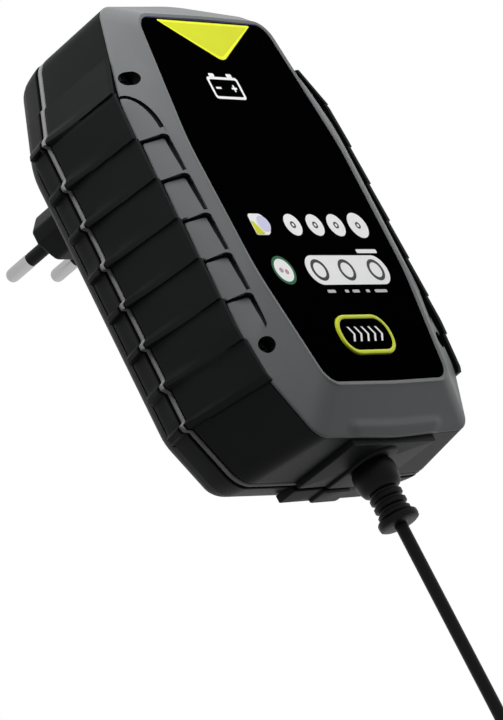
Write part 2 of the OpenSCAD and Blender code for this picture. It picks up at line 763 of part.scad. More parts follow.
module output_capacitors() color("#2a3550") place() {
    for (dz = [0, 11]) rod_y(left_x + 24, main_low + 7 + dz, 5, main_y - 16, main_y);
}

// Case screws, from the front cover through the middle shell into the rear cover
module case_screws() color("#4a4c4f") place() {
    at_case_screws() {
        difference() {
            rod_y(0, 0, screw_head_r, head_seat - head_h, head_seat);
            translate([-1.5, head_seat - head_h - 1, -0.3]) cube([3, 1.9, 0.6]);
            translate([-0.3, head_seat - head_h - 1, -1.5]) cube([0.6, 1.9, 3]);
        }
        rod_y(0, 0, screw_r, head_seat - eps, rear_in - 1.5);
    }
}

// Lead outlet: clamp, inner lead, cores and strain relief
clamp_z = wall_in_z + 9;
clamp_screw_x = 8;
clamp_low = 2;
core_step = 1.05;
module cord_clamp() color("#1d1d1f") place() {
    clamp_t = 2.4;
    difference() {
        box([-boss_r - 7, cord_back - cord_d / 2 - clamp_t, clamp_z - 7], [boss_r + 7, cord_back + 4 - fit_gap, clamp_z - clamp_low]);
        translate([0, cord_back, clamp_z - 8]) cylinder(r = cord_d / 2 + fit_gap, h = 8, $fn = 32);
        for (x = [-clamp_screw_x, clamp_screw_x])
            rod_y(x, clamp_z - 4, small_screw_r + part_gap, cord_back - 6, cord_back + 5);
    }
}
module clamp_screws() color("#b9bcc0") place() {
    y0 = cord_back - cord_d / 2 - 2.4;
    for (x = [-clamp_screw_x, clamp_screw_x]) {
        rod_y(x, clamp_z - 4, small_head_r, y0 - small_head_t, y0);
        rod_y(x, clamp_z - 4, small_screw_r, y0 - eps, cord_back + 7.5);
    }
}
relief_end = outlet_z - relief_l;
module cord_tail() color("#161718") place() {
    translate([0, cord_back, relief_end]) cylinder(r = cord_d / 2, h = clamp_z - relief_end + 1, $fn = 32);
}
module output_leads() color("#a83232") place() {
    for (s = [-1, 1]) {
        x = s * core_step;
        z = clamp_z + 1;
        translate([x, cord_back, z]) cylinder(r = lead_r, h = 3, $fn = 20);
        translate([x, cord_back, z + 3]) sphere(r = lead_r, $fn = 20);
        rod_y(x, z + 3, lead_r, cord_back, main_y);
    }
}
module strain_relief() color("#141516") place() {
    barrel_r = relief_d / 2;
    neck_r = 4.4;
    groove_r = 3.7;
    flange_r = 5.5;
    barrel_l = 7.3;
    flange_h = 2.8;
    ribs = 3;
    rib_h = (relief_l - barrel_l - flange_h) / ribs;
    inner_z = wall_in_z - outlet_z;
    ribbed = [for (i = [0:ribs - 1]) for (p = [[groove_r, 0], [groove_r, 0.9], [neck_r, 1.3], [neck_r, rib_h - eps]])
        [p[0], -barrel_l - i * rib_h - p[1]]];
    translate([0, cord_back, outlet_z]) rotate_extrude($fn = 48) polygon(concat(
        [[cord_d / 2 + fit_gap, inner_z + relief_in_h], [relief_in_r, inner_z + relief_in_h],
            [relief_in_r, inner_z], [relief_neck_r, inner_z], [relief_neck_r, 0],
            [barrel_r - 0.9, 0], [barrel_r - 0.1, -1.6], [barrel_r, -3.2], [barrel_r - 0.4, -5],
            [barrel_r - 1, -barrel_l + 0.3]],
        ribbed,
        [[flange_r - 0.4, -relief_l + flange_h], [flange_r, -relief_l + flange_h / 2],
            [flange_r - 0.2, -relief_l], [cord_d / 2 + fit_gap, -relief_l]]));
}

// Tubes swept along points that lie round an axis parallel to Y
function tangent(p, i) = unit(p[min(i + 1, len(p) - 1)] - p[max(i - 1, 0)]);
function tube_ring(p, i, r, n) =
    let (t = tangent(p, i))
    let (u = unit(cross([0, 1, 0], t)))
    let (v = cross(t, u))
    [for (k = [0:n - 1]) p[i] + r * (cos(k * 360 / n) * u + sin(k * 360 / n) * v)];
module tube(p, r, n) {
    m = len(p);
    pts = [for (i = [0:m - 1]) each tube_ring(p, i, r, n)];
    polyhedron(pts, concat(
        [[for (k = [0:n - 1]) k]],
        [for (i = [0:m - 2]) for (k = [0:n - 1]) each [
            [i * n + k, (i + 1) * n + k, (i + 1) * n + (k + 1) % n],
            [i * n + k, (i + 1) * n + (k + 1) % n, i * n + (k + 1) % n]]],
        [[for (k = [n - 1:-1:0]) (m - 1) * n + k]]), convexity = 10);
}

// Free stretch of the lead: straight down, then over into the top of the coil, as [x, z]
cord_y = cord_back - plug_y;
cord_top_z = relief_end - plug_up;
coil_x = 21;
coil_top_z = -194;
cord_route = [[0, -123.5], [0, -130], [0, -137], [0, -144], [0, -151], [0, -158], [0, -165],
    [0, -172], [0, -180], [0.5, -183.5], [1.9, -187], [4.1, -190], [7, -192.1], [10.4, -193.5],
    [14, -194]];
cord_points = concat([[0, cord_y, cord_top_z]],
    [for (p = cord_route) [p[0], cord_y, p[1]]],
    [[coil_x - cord_d, cord_y, coil_top_z]]);
module output_cord() color("#141516") tube(cord_points, cord_d / 2, 8);

// Stored coil: four layers that spiral in and out, climbing where the spiral turns back
coil_layers = 4;
loop_rings = 24;
coil_mid_z = coil_top_z - coil_r;
layer_turns = coil_turns / coil_layers;
climb_turns = 0.5;
function coil_radius(s) =
    let (k = floor(min(s, coil_turns - eps) / layer_turns))
    let (f = s / layer_turns - k)
    coil_r - coil_pitch * layer_turns * (k % 2 == 0 ? f : 1 - f);
function climb(s, k) = min(1, max(0, (s - k * layer_turns) / climb_turns + 0.5));
function coil_layer(s) = climb(s, 1) + climb(s, 2) + climb(s, 3);
function coil_pt(s) = [coil_x + coil_radius(s) * sin(360 * s),
    cord_y + coil_pitch * coil_layer(s), coil_mid_z + coil_radius(s) * cos(360 * s)];
coil_count = round(coil_turns * loop_rings);
coil_end = coil_pt(coil_turns);
lead_out = 8;
coil_points = concat([[coil_x - cord_d, cord_y, coil_top_z]],
    [for (i = [0:coil_count]) coil_pt(i / loop_rings)],
    [coil_end - [0, 0, cord_d], coil_end - [0, 0, lead_out]]);
near_rings = loop_rings / 2;
coil_gap = min([for (i = [0:len(coil_points) - 1 - near_rings])
    for (j = [i + near_rings:len(coil_points) - 1]) norm(coil_points[i] - coil_points[j])]) - cord_d;
echo(coil_least_gap_mm = coil_gap);
module cord_coil() color("#141516") tube(coil_points, cord_d / 2, 6);

// Strap round the coil's bundle, on the side away from the connector
module coil_tie() color("#2c2c30") {
    strap_w = 9;
    strap_t = 1.2;
    slack = 0.5;
    r0 = coil_r - coil_pitch * layer_turns - cord_d / 2 - slack - 0.8;
    r1 = coil_r + cord_d / 2 + slack;
    y0 = cord_y - cord_d / 2 - slack;
    y1 = cord_y + coil_pitch * (coil_layers - 1) + cord_d / 2 + slack;
    difference() {
        box([coil_x - r1 - strap_t, y0 - strap_t, coil_mid_z - strap_w / 2],
            [coil_x - r0 + strap_t, y1 + strap_t, coil_mid_z + strap_w / 2]);
        box([coil_x - r1, y0, coil_mid_z - strap_w], [coil_x - r0, y1, coil_mid_z + strap_w]);
    }
}

// Two-pole connector at the end of the lead: one bare pin and one shrouded socket
plug_top = coil_end - [0, 0, lead_out];
plug_boot_l = 12;
plug_body_l = 24;
plug_body_w = 15.4;
plug_body_d = 8.2;
pole_pitch = 7.4;
pole_r = 2;
pole_l = 8.5;
pole_in = 8;
root_r = 1.3;
socket_r = 2.8;
shroud_r = 3.8;
shroud_l = 9;
plug_low = -plug_boot_l - plug_body_l;
module connector_body() color("#17181a") translate(plug_top) {
    difference() {
        union() {
            translate([0, 0, -plug_boot_l])
                cylinder(r1 = 3.8, r2 = cord_d / 2 + 0.7, h = plug_boot_l, $fn = 32);
            translate([-plug_body_w / 2, -plug_body_d / 2, plug_low])
                cube([plug_body_w, plug_body_d, plug_body_l + eps]);
            translate([pole_pitch / 2, 0, plug_low - shroud_l])
                cylinder(r = shroud_r, h = shroud_l + eps, $fn = 32);
        }
        translate([pole_pitch / 2, 0, plug_low - shroud_l - 1])
            cylinder(r = socket_r + fit_gap, h = shroud_l + pole_in + 1, $fn = 32);
        translate([-pole_pitch / 2, 0, plug_low - 1])
            cylinder(r = root_r + fit_gap, h = pole_in + 1, $fn = 32);
    }
}
module connector_contacts() color("#c9a24a") translate(plug_top) {
    difference() {
        translate([pole_pitch / 2, 0, plug_low - pole_l])
            cylinder(r = socket_r, h = pole_l + pole_in, $fn = 32);
        translate([pole_pitch / 2, 0, plug_low - pole_l - 1])
            cylinder(r = pole_r + fit_gap, h = pole_l + 1, $fn = 32);
    }
    translate([-pole_pitch / 2, 0, plug_low - pole_l]) cylinder(r = pole_r, h = pole_l, $fn = 32);
    translate([-pole_pitch / 2, 0, plug_low - eps]) cylinder(r = root_r, h = pole_in, $fn = 32);
}

front_cover();
fascia_panel();
light_guides();
mode_button();
button_ring();
switch_body();
switch_plunger();
status_leds();
control_board();
control_chip();
control_screws();
board_link();
mid_shell();
seam_gasket();
rear_cover();
rating_plate();
plug_insert();
plug_pin_left();
plug_pin_right();
pin_sleeve_left();
pin_sleeve_right();
mains_lead_left();
mains_lead_right();
main_board();
main_screws();
fuse();
varistor();
emi_choke();
suppressor_cap();
bridge_rectifier();
bulk_capacitor();
transformer_core();
transformer_bobbin();
transformer_winding();
power_transistor();
output_diode();
heatsink();
optocoupler();
output_relay();
output_capacitors();
case_screws();
cord_clamp();
clamp_screws();
cord_tail();
output_leads();
strain_relief();
output_cord();
cord_coil();
coil_tie();
connector_body();
connector_contacts();
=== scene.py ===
"""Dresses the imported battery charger: high-detail pieces, materials, light and the camera."""

import math

import bmesh
import bpy
import numpy as np
from mathutils import Matrix, Vector
from mathutils.geometry import tessellate_polygon


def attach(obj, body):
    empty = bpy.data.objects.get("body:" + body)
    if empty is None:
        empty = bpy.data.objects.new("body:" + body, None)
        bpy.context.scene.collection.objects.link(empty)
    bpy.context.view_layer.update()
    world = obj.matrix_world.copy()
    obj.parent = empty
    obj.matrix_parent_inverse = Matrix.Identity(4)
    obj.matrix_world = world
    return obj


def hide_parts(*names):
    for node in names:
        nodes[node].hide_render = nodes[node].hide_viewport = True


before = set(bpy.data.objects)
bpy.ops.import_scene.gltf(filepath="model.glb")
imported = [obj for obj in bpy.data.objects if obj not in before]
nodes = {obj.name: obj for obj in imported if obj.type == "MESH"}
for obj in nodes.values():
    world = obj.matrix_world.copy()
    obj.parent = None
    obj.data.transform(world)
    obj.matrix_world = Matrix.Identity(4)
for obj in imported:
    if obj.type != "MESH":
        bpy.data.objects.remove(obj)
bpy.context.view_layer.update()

MM = 0.001
# The case is drawn about its middle, in millimetres; the plug's face is the frame's origin
CASE_ORIGIN = np.array([0.0, -61.0, -33.5])


def placed(points):
    """Points drawn about the case's middle, in millimetres, as frame points in metres."""
    return (np.asarray(points, float) + CASE_ORIGIN) * MM


# ---------------------------------------------------------------- camera

scene = bpy.context.scene
scene.view_settings.view_transform = "Standard"
lens = bpy.data.cameras.new("camera")
lens.lens = 200
lens.sensor_width = 36
lens.clip_start = 0.05
lens.clip_end = 30
camera = bpy.data.objects.new("camera", lens)
scene.collection.objects.link(camera)
right = Vector((0.6087, -0.6634, -0.4351))
up = Vector((0.0205, -0.5351, 0.8445))
back = right.cross(up).normalized()
right = up.cross(back).normalized()
eye = (-0.8294, -0.5795, -0.3855)
turn = Matrix((right, up, back)).transposed().to_4x4()
camera.matrix_world = Matrix.Translation(eye) @ turn
scene.camera = camera

# ---------------------------------------------------------------- materials


def noise(tree, coords, scale, detail=3.0):
    """A noise texture's value over the given coordinates."""
    node = tree.nodes.new("ShaderNodeTexNoise")
    node.inputs["Scale"].default_value = scale
    node.inputs["Detail"].default_value = detail
    node.inputs["Roughness"].default_value = 0.5
    tree.links.new(coords, node.inputs["Vector"])
    return node.outputs["Fac"]


def spread(tree, value, low, high, to_low, to_high):
    """A value mapped from one range to another."""
    node = tree.nodes.new("ShaderNodeMapRange")
    tree.links.new(value, node.inputs["Value"])
    ends = {"From Min": low, "From Max": high, "To Min": to_low, "To Max": to_high}
    for name, number in ends.items():
        node.inputs[name].default_value = number
    return node.outputs["Result"]


def finish_of(
    name,
    colour,
    rough,
    *,
    vary=0.08,
    patch=90,
    grain=2600,
    bump=0.08,
    depth=0.00004,
    rough_vary=0.06,
    metal=0.0,
    specular=0.5,
    streak=None,
    transmission=0.0,
    ior=1.45,
):
    """A moulded or metal finish: mottled colour, grained bump and uneven roughness."""
    mat = bpy.data.materials.new(name)
    mat.use_nodes = True
    tree = mat.node_tree
    shader = tree.nodes["Principled BSDF"]
    coords = tree.nodes.new("ShaderNodeTexCoord").outputs["Object"]
    if streak:
        stretch = tree.nodes.new("ShaderNodeMapping")
        stretch.inputs["Scale"].default_value = streak
        tree.links.new(coords, stretch.inputs["Vector"])
        grain_coords = stretch.outputs["Vector"]
    else:
        grain_coords = coords
    broad = noise(tree, coords, patch)
    fine = noise(tree, grain_coords, grain, 2.0)
    ramp = tree.nodes.new("ShaderNodeValToRGB")
    ramp.color_ramp.elements[0].position = 0.3
    ramp.color_ramp.elements[1].position = 0.7
    ramp.color_ramp.elements[0].color = [c * (1 - vary) for c in colour] + [1]
    ramp.color_ramp.elements[1].color = [min(1, c * (1 + vary)) for c in colour] + [1]
    mixed = tree.nodes.new("ShaderNodeMath")
    mixed.operation = "MULTIPLY_ADD"
    tree.links.new(fine, mixed.inputs[0])
    fine_share = 0.45
    mixed.inputs[1].default_value = fine_share
    tree.links.new(spread(tree, broad, 0, 1, 0, 1 - fine_share), mixed.inputs[2])
    tree.links.new(mixed.outputs[0], ramp.inputs["Fac"])
    tree.links.new(ramp.outputs["Color"], shader.inputs["Base Color"])
    uneven = spread(tree, fine, 0.3, 0.7, rough - rough_vary, rough + rough_vary)
    tree.links.new(uneven, shader.inputs["Roughness"])
    relief = tree.nodes.new("ShaderNodeBump")
    relief.inputs["Strength"].default_value = bump
    relief.inputs["Distance"].default_value = depth
    tree.links.new(fine, relief.inputs["Height"])
    tree.links.new(relief.outputs["Normal"], shader.inputs["Normal"])
    shader.inputs["Metallic"].default_value = metal
    shader.inputs["Specular IOR Level"].default_value = specular
    shader.inputs["Transmission Weight"].default_value = transmission
    shader.inputs["IOR"].default_value = ior
    return mat


def grey(value):
    """A neutral colour from its screen value, 0 to 255."""
    return colour(value, value, value)


def colour(*values):
    """A linear colour from screen values, 0 to 255."""
    return [((v / 255 + 0.055) / 1.055) ** 2.4 if v > 10 else v / 255 / 12.92 for v in values]


finishes = {
    "grey_cover": finish_of(
        "cover_satin", colour(102, 104, 105), 0.46, vary=0.05, bump=0.14, specular=0.25
    ),
    "black_shell": finish_of(
        "shell_black", colour(21, 22, 22), 0.5, vary=0.1, bump=0.2, specular=0.1
    ),
    "gloss_black": finish_of(
        "fascia_gloss", grey(2), 0.14, vary=0.1, bump=0.01, rough_vary=0.02, specular=0.0
    ),
    "seal_grey": finish_of("seal_rubber", grey(128), 0.6, vary=0.07, bump=0.2, specular=0.25),
    "clear_plastic": finish_of(
        "guide_clear", grey(235), 0.12, vary=0.02, transmission=0.9, ior=1.49, bump=0.02
    ),
    "ring_yellow": finish_of(
        "ring_lime", colour(200, 212, 40), 0.35, vary=0.04, bump=0.05, specular=0.3
    ),
    "led_lens": finish_of("lens_white", grey(232), 0.2, vary=0.03, bump=0.02),
    "board_green": finish_of(
        "board_resin", colour(30, 96, 54), 0.35, vary=0.18, patch=400, bump=0.05
    ),
    "part_black": finish_of("part_resin", grey(30), 0.5, vary=0.15, patch=500, bump=0.2),
    "part_white": finish_of("part_glass", grey(222), 0.35, vary=0.04, bump=0.05),
    "part_blue": finish_of("part_blue_resin", colour(40, 80, 160), 0.35, vary=0.1, bump=0.08),
    "part_yellow": finish_of("part_yellow_film", colour(205, 180, 60), 0.35, vary=0.06, bump=0.05),
    "ferrite": finish_of("core_ferrite", grey(62), 0.65, vary=0.2, patch=700, bump=0.35),
    "bobbin_tan": finish_of("bobbin_nylon", colour(198, 186, 160), 0.5, vary=0.06, bump=0.1),
    "copper_tape": finish_of(
        "winding_copper", colour(196, 110, 52), 0.32,
        vary=0.12, metal=1.0, streak=(0.05, 0.05, 1), bump=0.2,
    ),
    "alu": finish_of(
        "sink_alu", grey(190), 0.38, vary=0.06, metal=1.0, streak=(1, 1, 0.04), bump=0.1
    ),
    "pin_metal": finish_of(
        "pin_nickel", grey(172), 0.28,
        vary=0.05, metal=1.0, streak=(1, 0.05, 1), bump=0.05, rough_vary=0.05,
    ),
    "screw_steel": finish_of("screw_oxide", grey(46), 0.5, vary=0.1, metal=1.0, bump=0.08),
    "lead_brown": finish_of("lead_brown_pvc", colour(92, 56, 34), 0.4, bump=0.06),
    "lead_blue": finish_of("lead_blue_pvc", colour(50, 96, 176), 0.4, bump=0.06),
    "lead_red": finish_of("lead_red_pvc", colour(176, 44, 44), 0.4, bump=0.06),
    "cord_black": finish_of("lead_rubber", grey(15), 0.42, vary=0.15, bump=0.15, specular=0.12),
    "contact_brass": finish_of(
        "contact_brass_turned", colour(214, 176, 92), 0.24,
        vary=0.05, metal=1.0, streak=(1, 1, 0.05), bump=0.05,
    ),
    "plate_grey": finish_of(
        "plate_foil", grey(176), 0.42, vary=0.04, bump=0.06, streak=(0.1, 1, 1)
    ),
}


def ink(name, tint, rough=0.45, vary=0.05):
    """The finish of a printed mark."""
    return finish_of(name, tint, rough, vary=vary, bump=0.04, specular=0.15)


# Painted shade: dark grey laid on the floor and walls of the grooves round the tiles, which are the
# cover's own grey plastic in shade.
groove_painted_shade = finish_of("groove_shade", grey(30), 0.6, vary=0.2, bump=0.1, specular=0.05)
# Painted shade: near black laid on the screw holes' walls in the grey cover and on the black
# shells' edges by the cover and at the seam, where the plastic is only in shade.
gap_painted_shade = finish_of("gap_shadow", grey(7), 0.8, vary=0.3, bump=0.1, specular=0.05)
rib_black = finish_of("relief_rubber", grey(15), 0.42, vary=0.12, bump=0.22, specular=0.12)
lime_print = ink("print_yellow", colour(206, 212, 5), 0.42, 0.02)
lime_edge = ink("print_yellow_edge", colour(230, 236, 30), 0.4, 0.02)
white_print = ink("print_white", grey(240), vary=0.02)
dark_print = ink("print_dark", grey(58))
grey_print = ink("print_grey", grey(190))
lilac_print = ink("print_lilac", colour(206, 206, 232), vary=0.03)
green_print = ink("print_green", colour(24, 96, 60))
pink_print = ink("print_pink", colour(188, 150, 160))
navy_print = ink("print_navy", colour(40, 42, 92), 0.4, 0.08)
strap_black = finish_of(
    "strap_weave", grey(44), 0.8, vary=0.3, grain=1400, bump=0.6, depth=0.0002, specular=0.2
)

for node in nodes.values():
    for holder in node.material_slots:
        key = holder.material.name.split(".")[0] if holder.material else ""
        if key in finishes:
            holder.material = finishes[key]

# ---------------------------------------------------------------- the output lead

cord_r = 1.7
cord_y = -50.0
cord_exit = (0.0, cord_y, -119.8)
cord_route = [
    (0, -123.5), (0, -130), (0, -137), (0, -144), (0, -151), (0, -158), (0, -165), (0, -172),
    (0, -180), (0.5, -183.5), (1.9, -187), (4.1, -190), (7, -192.1), (10.4, -193.5), (14, -194),
]
coil_x, coil_z, coil_r = 21.0, -219.0, 25.0
coil_pitch, coil_turns, coil_layers, loop_points = 3.9, 11.25, 4, 24
layer_turns = coil_turns / coil_layers


def coil_point(s):
    """A point of the stored coil after s turns."""
    climb = 0.5  # turns that the lead takes to rise to the next layer
    k = math.floor(min(s, coil_turns - 0.01) / layer_turns)
    f = s / layer_turns - k
    radius = coil_r - coil_pitch * layer_turns * (f if k % 2 == 0 else 1 - f)
    risen = [(s - n * layer_turns) / climb + 0.5 for n in range(1, coil_layers)]
    layer = sum(min(1, max(0, share)) for share in risen)
    angle = 2 * math.pi * s
    return (
        coil_x + radius * math.sin(angle),
        cord_y + coil_pitch * layer,
        coil_z + radius * math.cos(angle),
    )


lead_points = [cord_exit] + [(x, cord_y, z) for x, z in cord_route]
lead_points += [(17.6, cord_y, -194.0)]
lead_points += [coil_point(k / loop_points) for k in range(round(coil_turns * loop_points) + 1)]
coil_end = np.array(coil_point(coil_turns))
lead_points += [tuple(coil_end - (0, 0, 3.4)), tuple(coil_end - (0, 0, 8.0))]


def link(name, data, body, *slots):
    """An object of this data that rides on a body, with its materials."""
    obj = bpy.data.objects.new(name, data)
    scene.collection.objects.link(obj)
    for mat in slots:
        data.materials.append(mat)
    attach(obj, body)
    return obj


line = bpy.data.curves.new("output_lead", "CURVE")
line.dimensions = "3D"
line.bevel_depth = cord_r * MM
line.bevel_resolution = 5
line.resolution_u = 4
line.use_fill_caps = True
spline = line.splines.new("BEZIER")
spline.bezier_points.add(len(lead_points) - 1)
for bead, p in zip(spline.bezier_points, lead_points):
    bead.co = Vector(p) * MM
    bead.handle_left_type = bead.handle_right_type = "AUTO"
lead = link("output_lead", line, "case", finishes["cord_black"])
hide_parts("output_cord", "cord_coil")

# ---------------------------------------------------------------- mesh helpers


def mesh_piece(name, verts, faces, body, slots, *, sharp=38, marks=None, metres=False):
    """A smooth-shaded piece on a body, from millimetre points drawn about the case's middle."""
    mesh = bpy.data.meshes.new(name)
    points = np.asarray(verts, float) if metres else placed(verts)
    mesh.from_pydata(points.tolist(), [], faces)
    form = bmesh.new()
    form.from_mesh(mesh)
    bmesh.ops.recalc_face_normals(form, faces=form.faces)
    form.to_mesh(mesh)
    form.free()
    mesh.polygons.foreach_set("use_smooth", [True] * len(mesh.polygons))
    if marks is not None:
        mesh.polygons.foreach_set("material_index", marks)
    mesh.set_sharp_from_angle(angle=math.radians(sharp))
    mesh.validate()
    return link(name, mesh, body, *slots)


def loft(rings, loop=False):
    """Faces over rings of equal count, closed on the first ring or capped at both ends."""
    n, m = len(rings[0]), len(rings)
    faces = []
    for k in range(m if loop else m - 1):
        a, b = k * n, ((k + 1) % m) * n
        for i in range(n):
            j = (i + 1) % n
            faces.append((a + i, a + j, b + j, b + i))
    if not loop:
        faces.append(tuple(range(n - 1, -1, -1)))
        faces.append(tuple(range((m - 1) * n, m * n)))
    return np.concatenate([np.asarray(r, float) for r in rings]), faces


def inset_loop(loop, d):
    """A counter-clockwise outline moved inwards by d."""
    p = np.asarray(loop, float)
    before, after = np.roll(p, 1, 0), np.roll(p, -1, 0)
    e1, e2 = p - before, after - p
    e1 /= np.linalg.norm(e1, axis=1)[:, None]
    e2 /= np.linalg.norm(e2, axis=1)[:, None]
    n1, n2 = np.stack([-e1[:, 1], e1[:, 0]], 1), np.stack([-e2[:, 1], e2[:, 0]], 1)
    mid = n1 + n2
    mid /= np.linalg.norm(mid, axis=1)[:, None]
    return p + mid * (d / np.maximum(0.4, (mid * n1).sum(1)))[:, None]


def slab(loop, low, high, edge_low=0.0, edge_high=0.0):
    """Rings of (outline, level) for a plate whose two edges are rounded."""
    rings, n = [], 4
    for k in range(n + 1 if edge_low else 1):
        a = math.pi / 2 * k / n if edge_low else 0
        outline = inset_loop(loop, edge_low * (1 - math.sin(a)))
        rings.append((outline, low + edge_low * (1 - math.cos(a))))
    for k in range(n + 1 if edge_high else 1):
        a = math.pi / 2 * (1 - k / n) if edge_high else 0
        outline = inset_loop(loop, edge_high * (1 - math.sin(a)))
        rings.append((outline, high - edge_high * (1 - math.cos(a))))
    return rings


def along_y(rings):
    """Points in space for rings of (outline in x and z, depth)."""
    return [np.stack([l[:, 0], np.full(len(l), y), l[:, 1]], 1) for l, y in rings]


def along_z(rings):
    """Points in space for rings of (outline in x and y, level)."""
    return [np.stack([l[:, 0], l[:, 1], np.full(len(l), z)], 1) for l, z in rings]


def lathe(profile, centre, axis="z", count=64):
    """Rings round an axis from (radius, level) pairs."""
    rings = []
    for r, level in profile:
        ring = []
        for k in range(count):
            a = 2 * math.pi * k / count
            c, s = r * math.cos(a), r * math.sin(a)
            p = (c, s, level) if axis == "z" else (c, level, s)
            ring.append([centre[0] + p[0], centre[1] + p[1], centre[2] + p[2]])
        rings.append(np.array(ring))
    return rings


def rounded_box(w, h, r, n=7):
    """A counter-clockwise rounded rectangle about the origin."""
    pts = []
    x, z = w / 2 - r, h / 2 - r
    for cx, cz, start in ((x, z, 0), (-x, z, 90), (-x, -z, 180), (x, -z, 270)):
        for k in range(n):
            a = math.radians(start + 90 * k / (n - 1))
            pts.append((cx + r * math.cos(a), cz + r * math.sin(a)))
    return np.array(pts)


def circle(x, z, r, n):
    """A counter-clockwise circle of n points."""
    turns = [2 * math.pi * k / n for k in range(n)]
    return np.array([(x + r * math.cos(a), z + r * math.sin(a)) for a in turns])


def carve(obj, cutter):
    """Cuts cutter out of obj, leaves the cutter's material on the cut and removes the cutter."""
    step = obj.modifiers.new("carve", "BOOLEAN")
    step.operation = "DIFFERENCE"
    step.solver = "MANIFOLD"
    step.material_mode = "TRANSFER"
    step.object = cutter
    graph = bpy.context.evaluated_depsgraph_get()
    mesh = bpy.data.meshes.new_from_object(obj.evaluated_get(graph))
    obj.modifiers.remove(step)
    obj.data = mesh
    bpy.data.objects.remove(cutter)


def tool(blocks, finish):
    """One cutter for carve() from several lists of rings."""
    verts, faces = [], []
    for rings in blocks:
        v, f = loft(rings)
        base = len(verts)
        verts += v.tolist()
        faces += [tuple(base + i for i in face) for face in f]
    return mesh_piece("cutter", verts, faces, "case", [finish])


# ---------------------------------------------------------------- outlines of the case

# Corners are (x, z, radius) of an outline's right half, from the bottom's middle to the top's
ARC = 15  # points on each rounding
CENTRE = (ARC - 1) // 2
half_w, half_h = 42.5, 67.0
wall, front_d, shell_d, gasket_t, rear_d, plug_d = 2.5, 6.5, 22.1, 1.1, 11.4, 26.4
rear_y = shell_d + gasket_t
back_y = rear_y + rear_d
plug_y = back_y + plug_d
plug_up = 33.5
bottom_z = -half_h
side_out, foot_out = 5.7, 8.7
case_corners = [
    (0, -half_h, 150), (half_w - 10, 1.2 - half_h, 6.5), (half_w - 1.6, -47.5, 14),
    (half_w, 35.5, 22), (half_w - 10.7, half_h - 2.0, 6.5), (0, half_h, 90),
]
seam_corners = [
    (0, -half_h, 150), (half_w - 11 + foot_out, 1.2 - half_h, 8),
    (half_w - 1.6 + foot_out, -47.5, 14),
    (half_w + side_out, 35.5, 22), (half_w - 13.5 + side_out, half_h - 3.7, 8), (0, half_h, 90),
]
fascia_w, fascia_h, fascia_z = 64.6, 112.0, 2.3
fascia_corners = [
    (0, fascia_z - fascia_h / 2, 300), (fascia_w / 2 - 6.5, fascia_z - fascia_h / 2 + 0.4, 5),
    (fascia_w / 2 - 0.6, fascia_z - fascia_h * 0.2, 70),
    (fascia_w / 2, fascia_z + fascia_h * 0.15, 70),
    (fascia_w / 2 - 5.6, fascia_z + fascia_h / 2 - 0.4, 5), (0, fascia_z + fascia_h / 2, 300),
]
# Levels of the steps in the case's sides, from the top down
top_step, first_tall, step_pitch = 36.6, 13.8, 12
steps = [top_step] + [top_step - first_tall - step_pitch * k for k in range(7)]
grip_top, grip_low = 47.8, steps[-1]


def arc(a, p, b, r, inset):
    """The points of the rounding at corner p, between its neighbours a and b."""
    a, p, b = (np.array(q[:2], float) for q in (a, p, b))
    u, v = (a - p) / np.linalg.norm(a - p), (b - p) / np.linalg.norm(b - p)
    w = (u + v) / np.linalg.norm(u + v)
    half = math.acos(max(-1, min(1, float(u @ v)))) / 2
    centre = p + w * r / math.sin(half)
    out = []
    for k in range(ARC):
        angle = half - math.pi / 2 + (math.pi - 2 * half) * k / (ARC - 1)
        c, s = math.cos(angle), math.sin(angle)
        out.append(centre + (r - inset) * np.array([-w[0] * c + w[1] * s, -w[0] * s - w[1] * c]))
    return out


def rounded(half, inset):
    """A closed outline from the corners (x, z, radius) of its right half, moved inwards."""
    corners = half + [(-x, z, r) for x, z, r in half[-2:0:-1]]
    after = corners[1:] + corners[:1]
    before = corners[-1:] + corners[:-1]
    arcs = [arc(a, p, b, p[2], inset) for a, p, b in zip(before, corners, after)]
    return np.array([p for points in arcs for p in points])


def at(outline, t):
    """Points of a closed outline at fractional indices."""
    i = np.floor(t).astype(int)
    f = (t - i)[:, None]
    n = len(outline)
    return (1 - f) * outline[i % n] + f * outline[(i + 1) % n]


case_line = rounded(case_corners, 0)
RIGHT = np.arange(CENTRE, 5 * ARC + CENTRE + 1)


def stations(levels, gap):
    """Indices round the case, at most gap apart, with one at each level on both sides."""
    n = len(case_line)
    ts = []
    for i in range(n):
        long = np.linalg.norm(case_line[(i + 1) % n] - case_line[i])
        m = max(1, math.ceil(long / gap))
        ts += [i + k / m for k in range(m)]
    extra = np.interp(levels, case_line[RIGHT, 1], RIGHT)
    ts = np.array(ts + list(extra) + [(2 * CENTRE - t) % n for t in extra])
    return np.unique(np.round(ts, 5))


def width_of(corners):
    """The half width of an outline, without its rounding, as a function of height."""
    return lambda z: np.interp(z, [c[1] for c in corners[1:5]], [c[0] for c in corners[1:5]])


side_w, seam_w = width_of(case_corners), width_of(seam_corners)


def smooth(low, high, value):
    """A smooth rise from 0 at low to 1 at high."""
    f = np.clip((value - low) / (high - low), 0, 1)
    return f * f * (3 - 2 * f)


# ---------------------------------------------------------------- front cover

rim = 1.2
crease = 0.62
rim_skirt = 0.5
crease_lift = 1.02
crease_turn = 28
tile_w, tile_deep, tile_flare = 5.2, 1.3, 1.3
groove_w = 0.9
pad_half = 18.0
screw_x, screw_levels = half_w - 4.8, (40.9, -39.8)
band_slope = (0.8 * front_d - rim_skirt) / (crease * (half_w - fascia_w / 2 - rim))
tile_tops = [z - 0.1 for z in steps[:-2]]
tile_lows = steps[1:-1]


def step_share(z):
    """How far down its step a level lies, from 0 at its top to 1 at its lower edge."""
    share = np.zeros_like(z)
    for top, low in zip([grip_top] + steps, steps):
        share = np.where((z <= top) & (z > low), (top - z) / (top - low), share)
    return share


def tile_edge(z):
    """How far the cover's outer edge flares beside the tiles."""
    return tile_flare * step_share(z) * (z < steps[0]) * (z > tile_lows[-1])


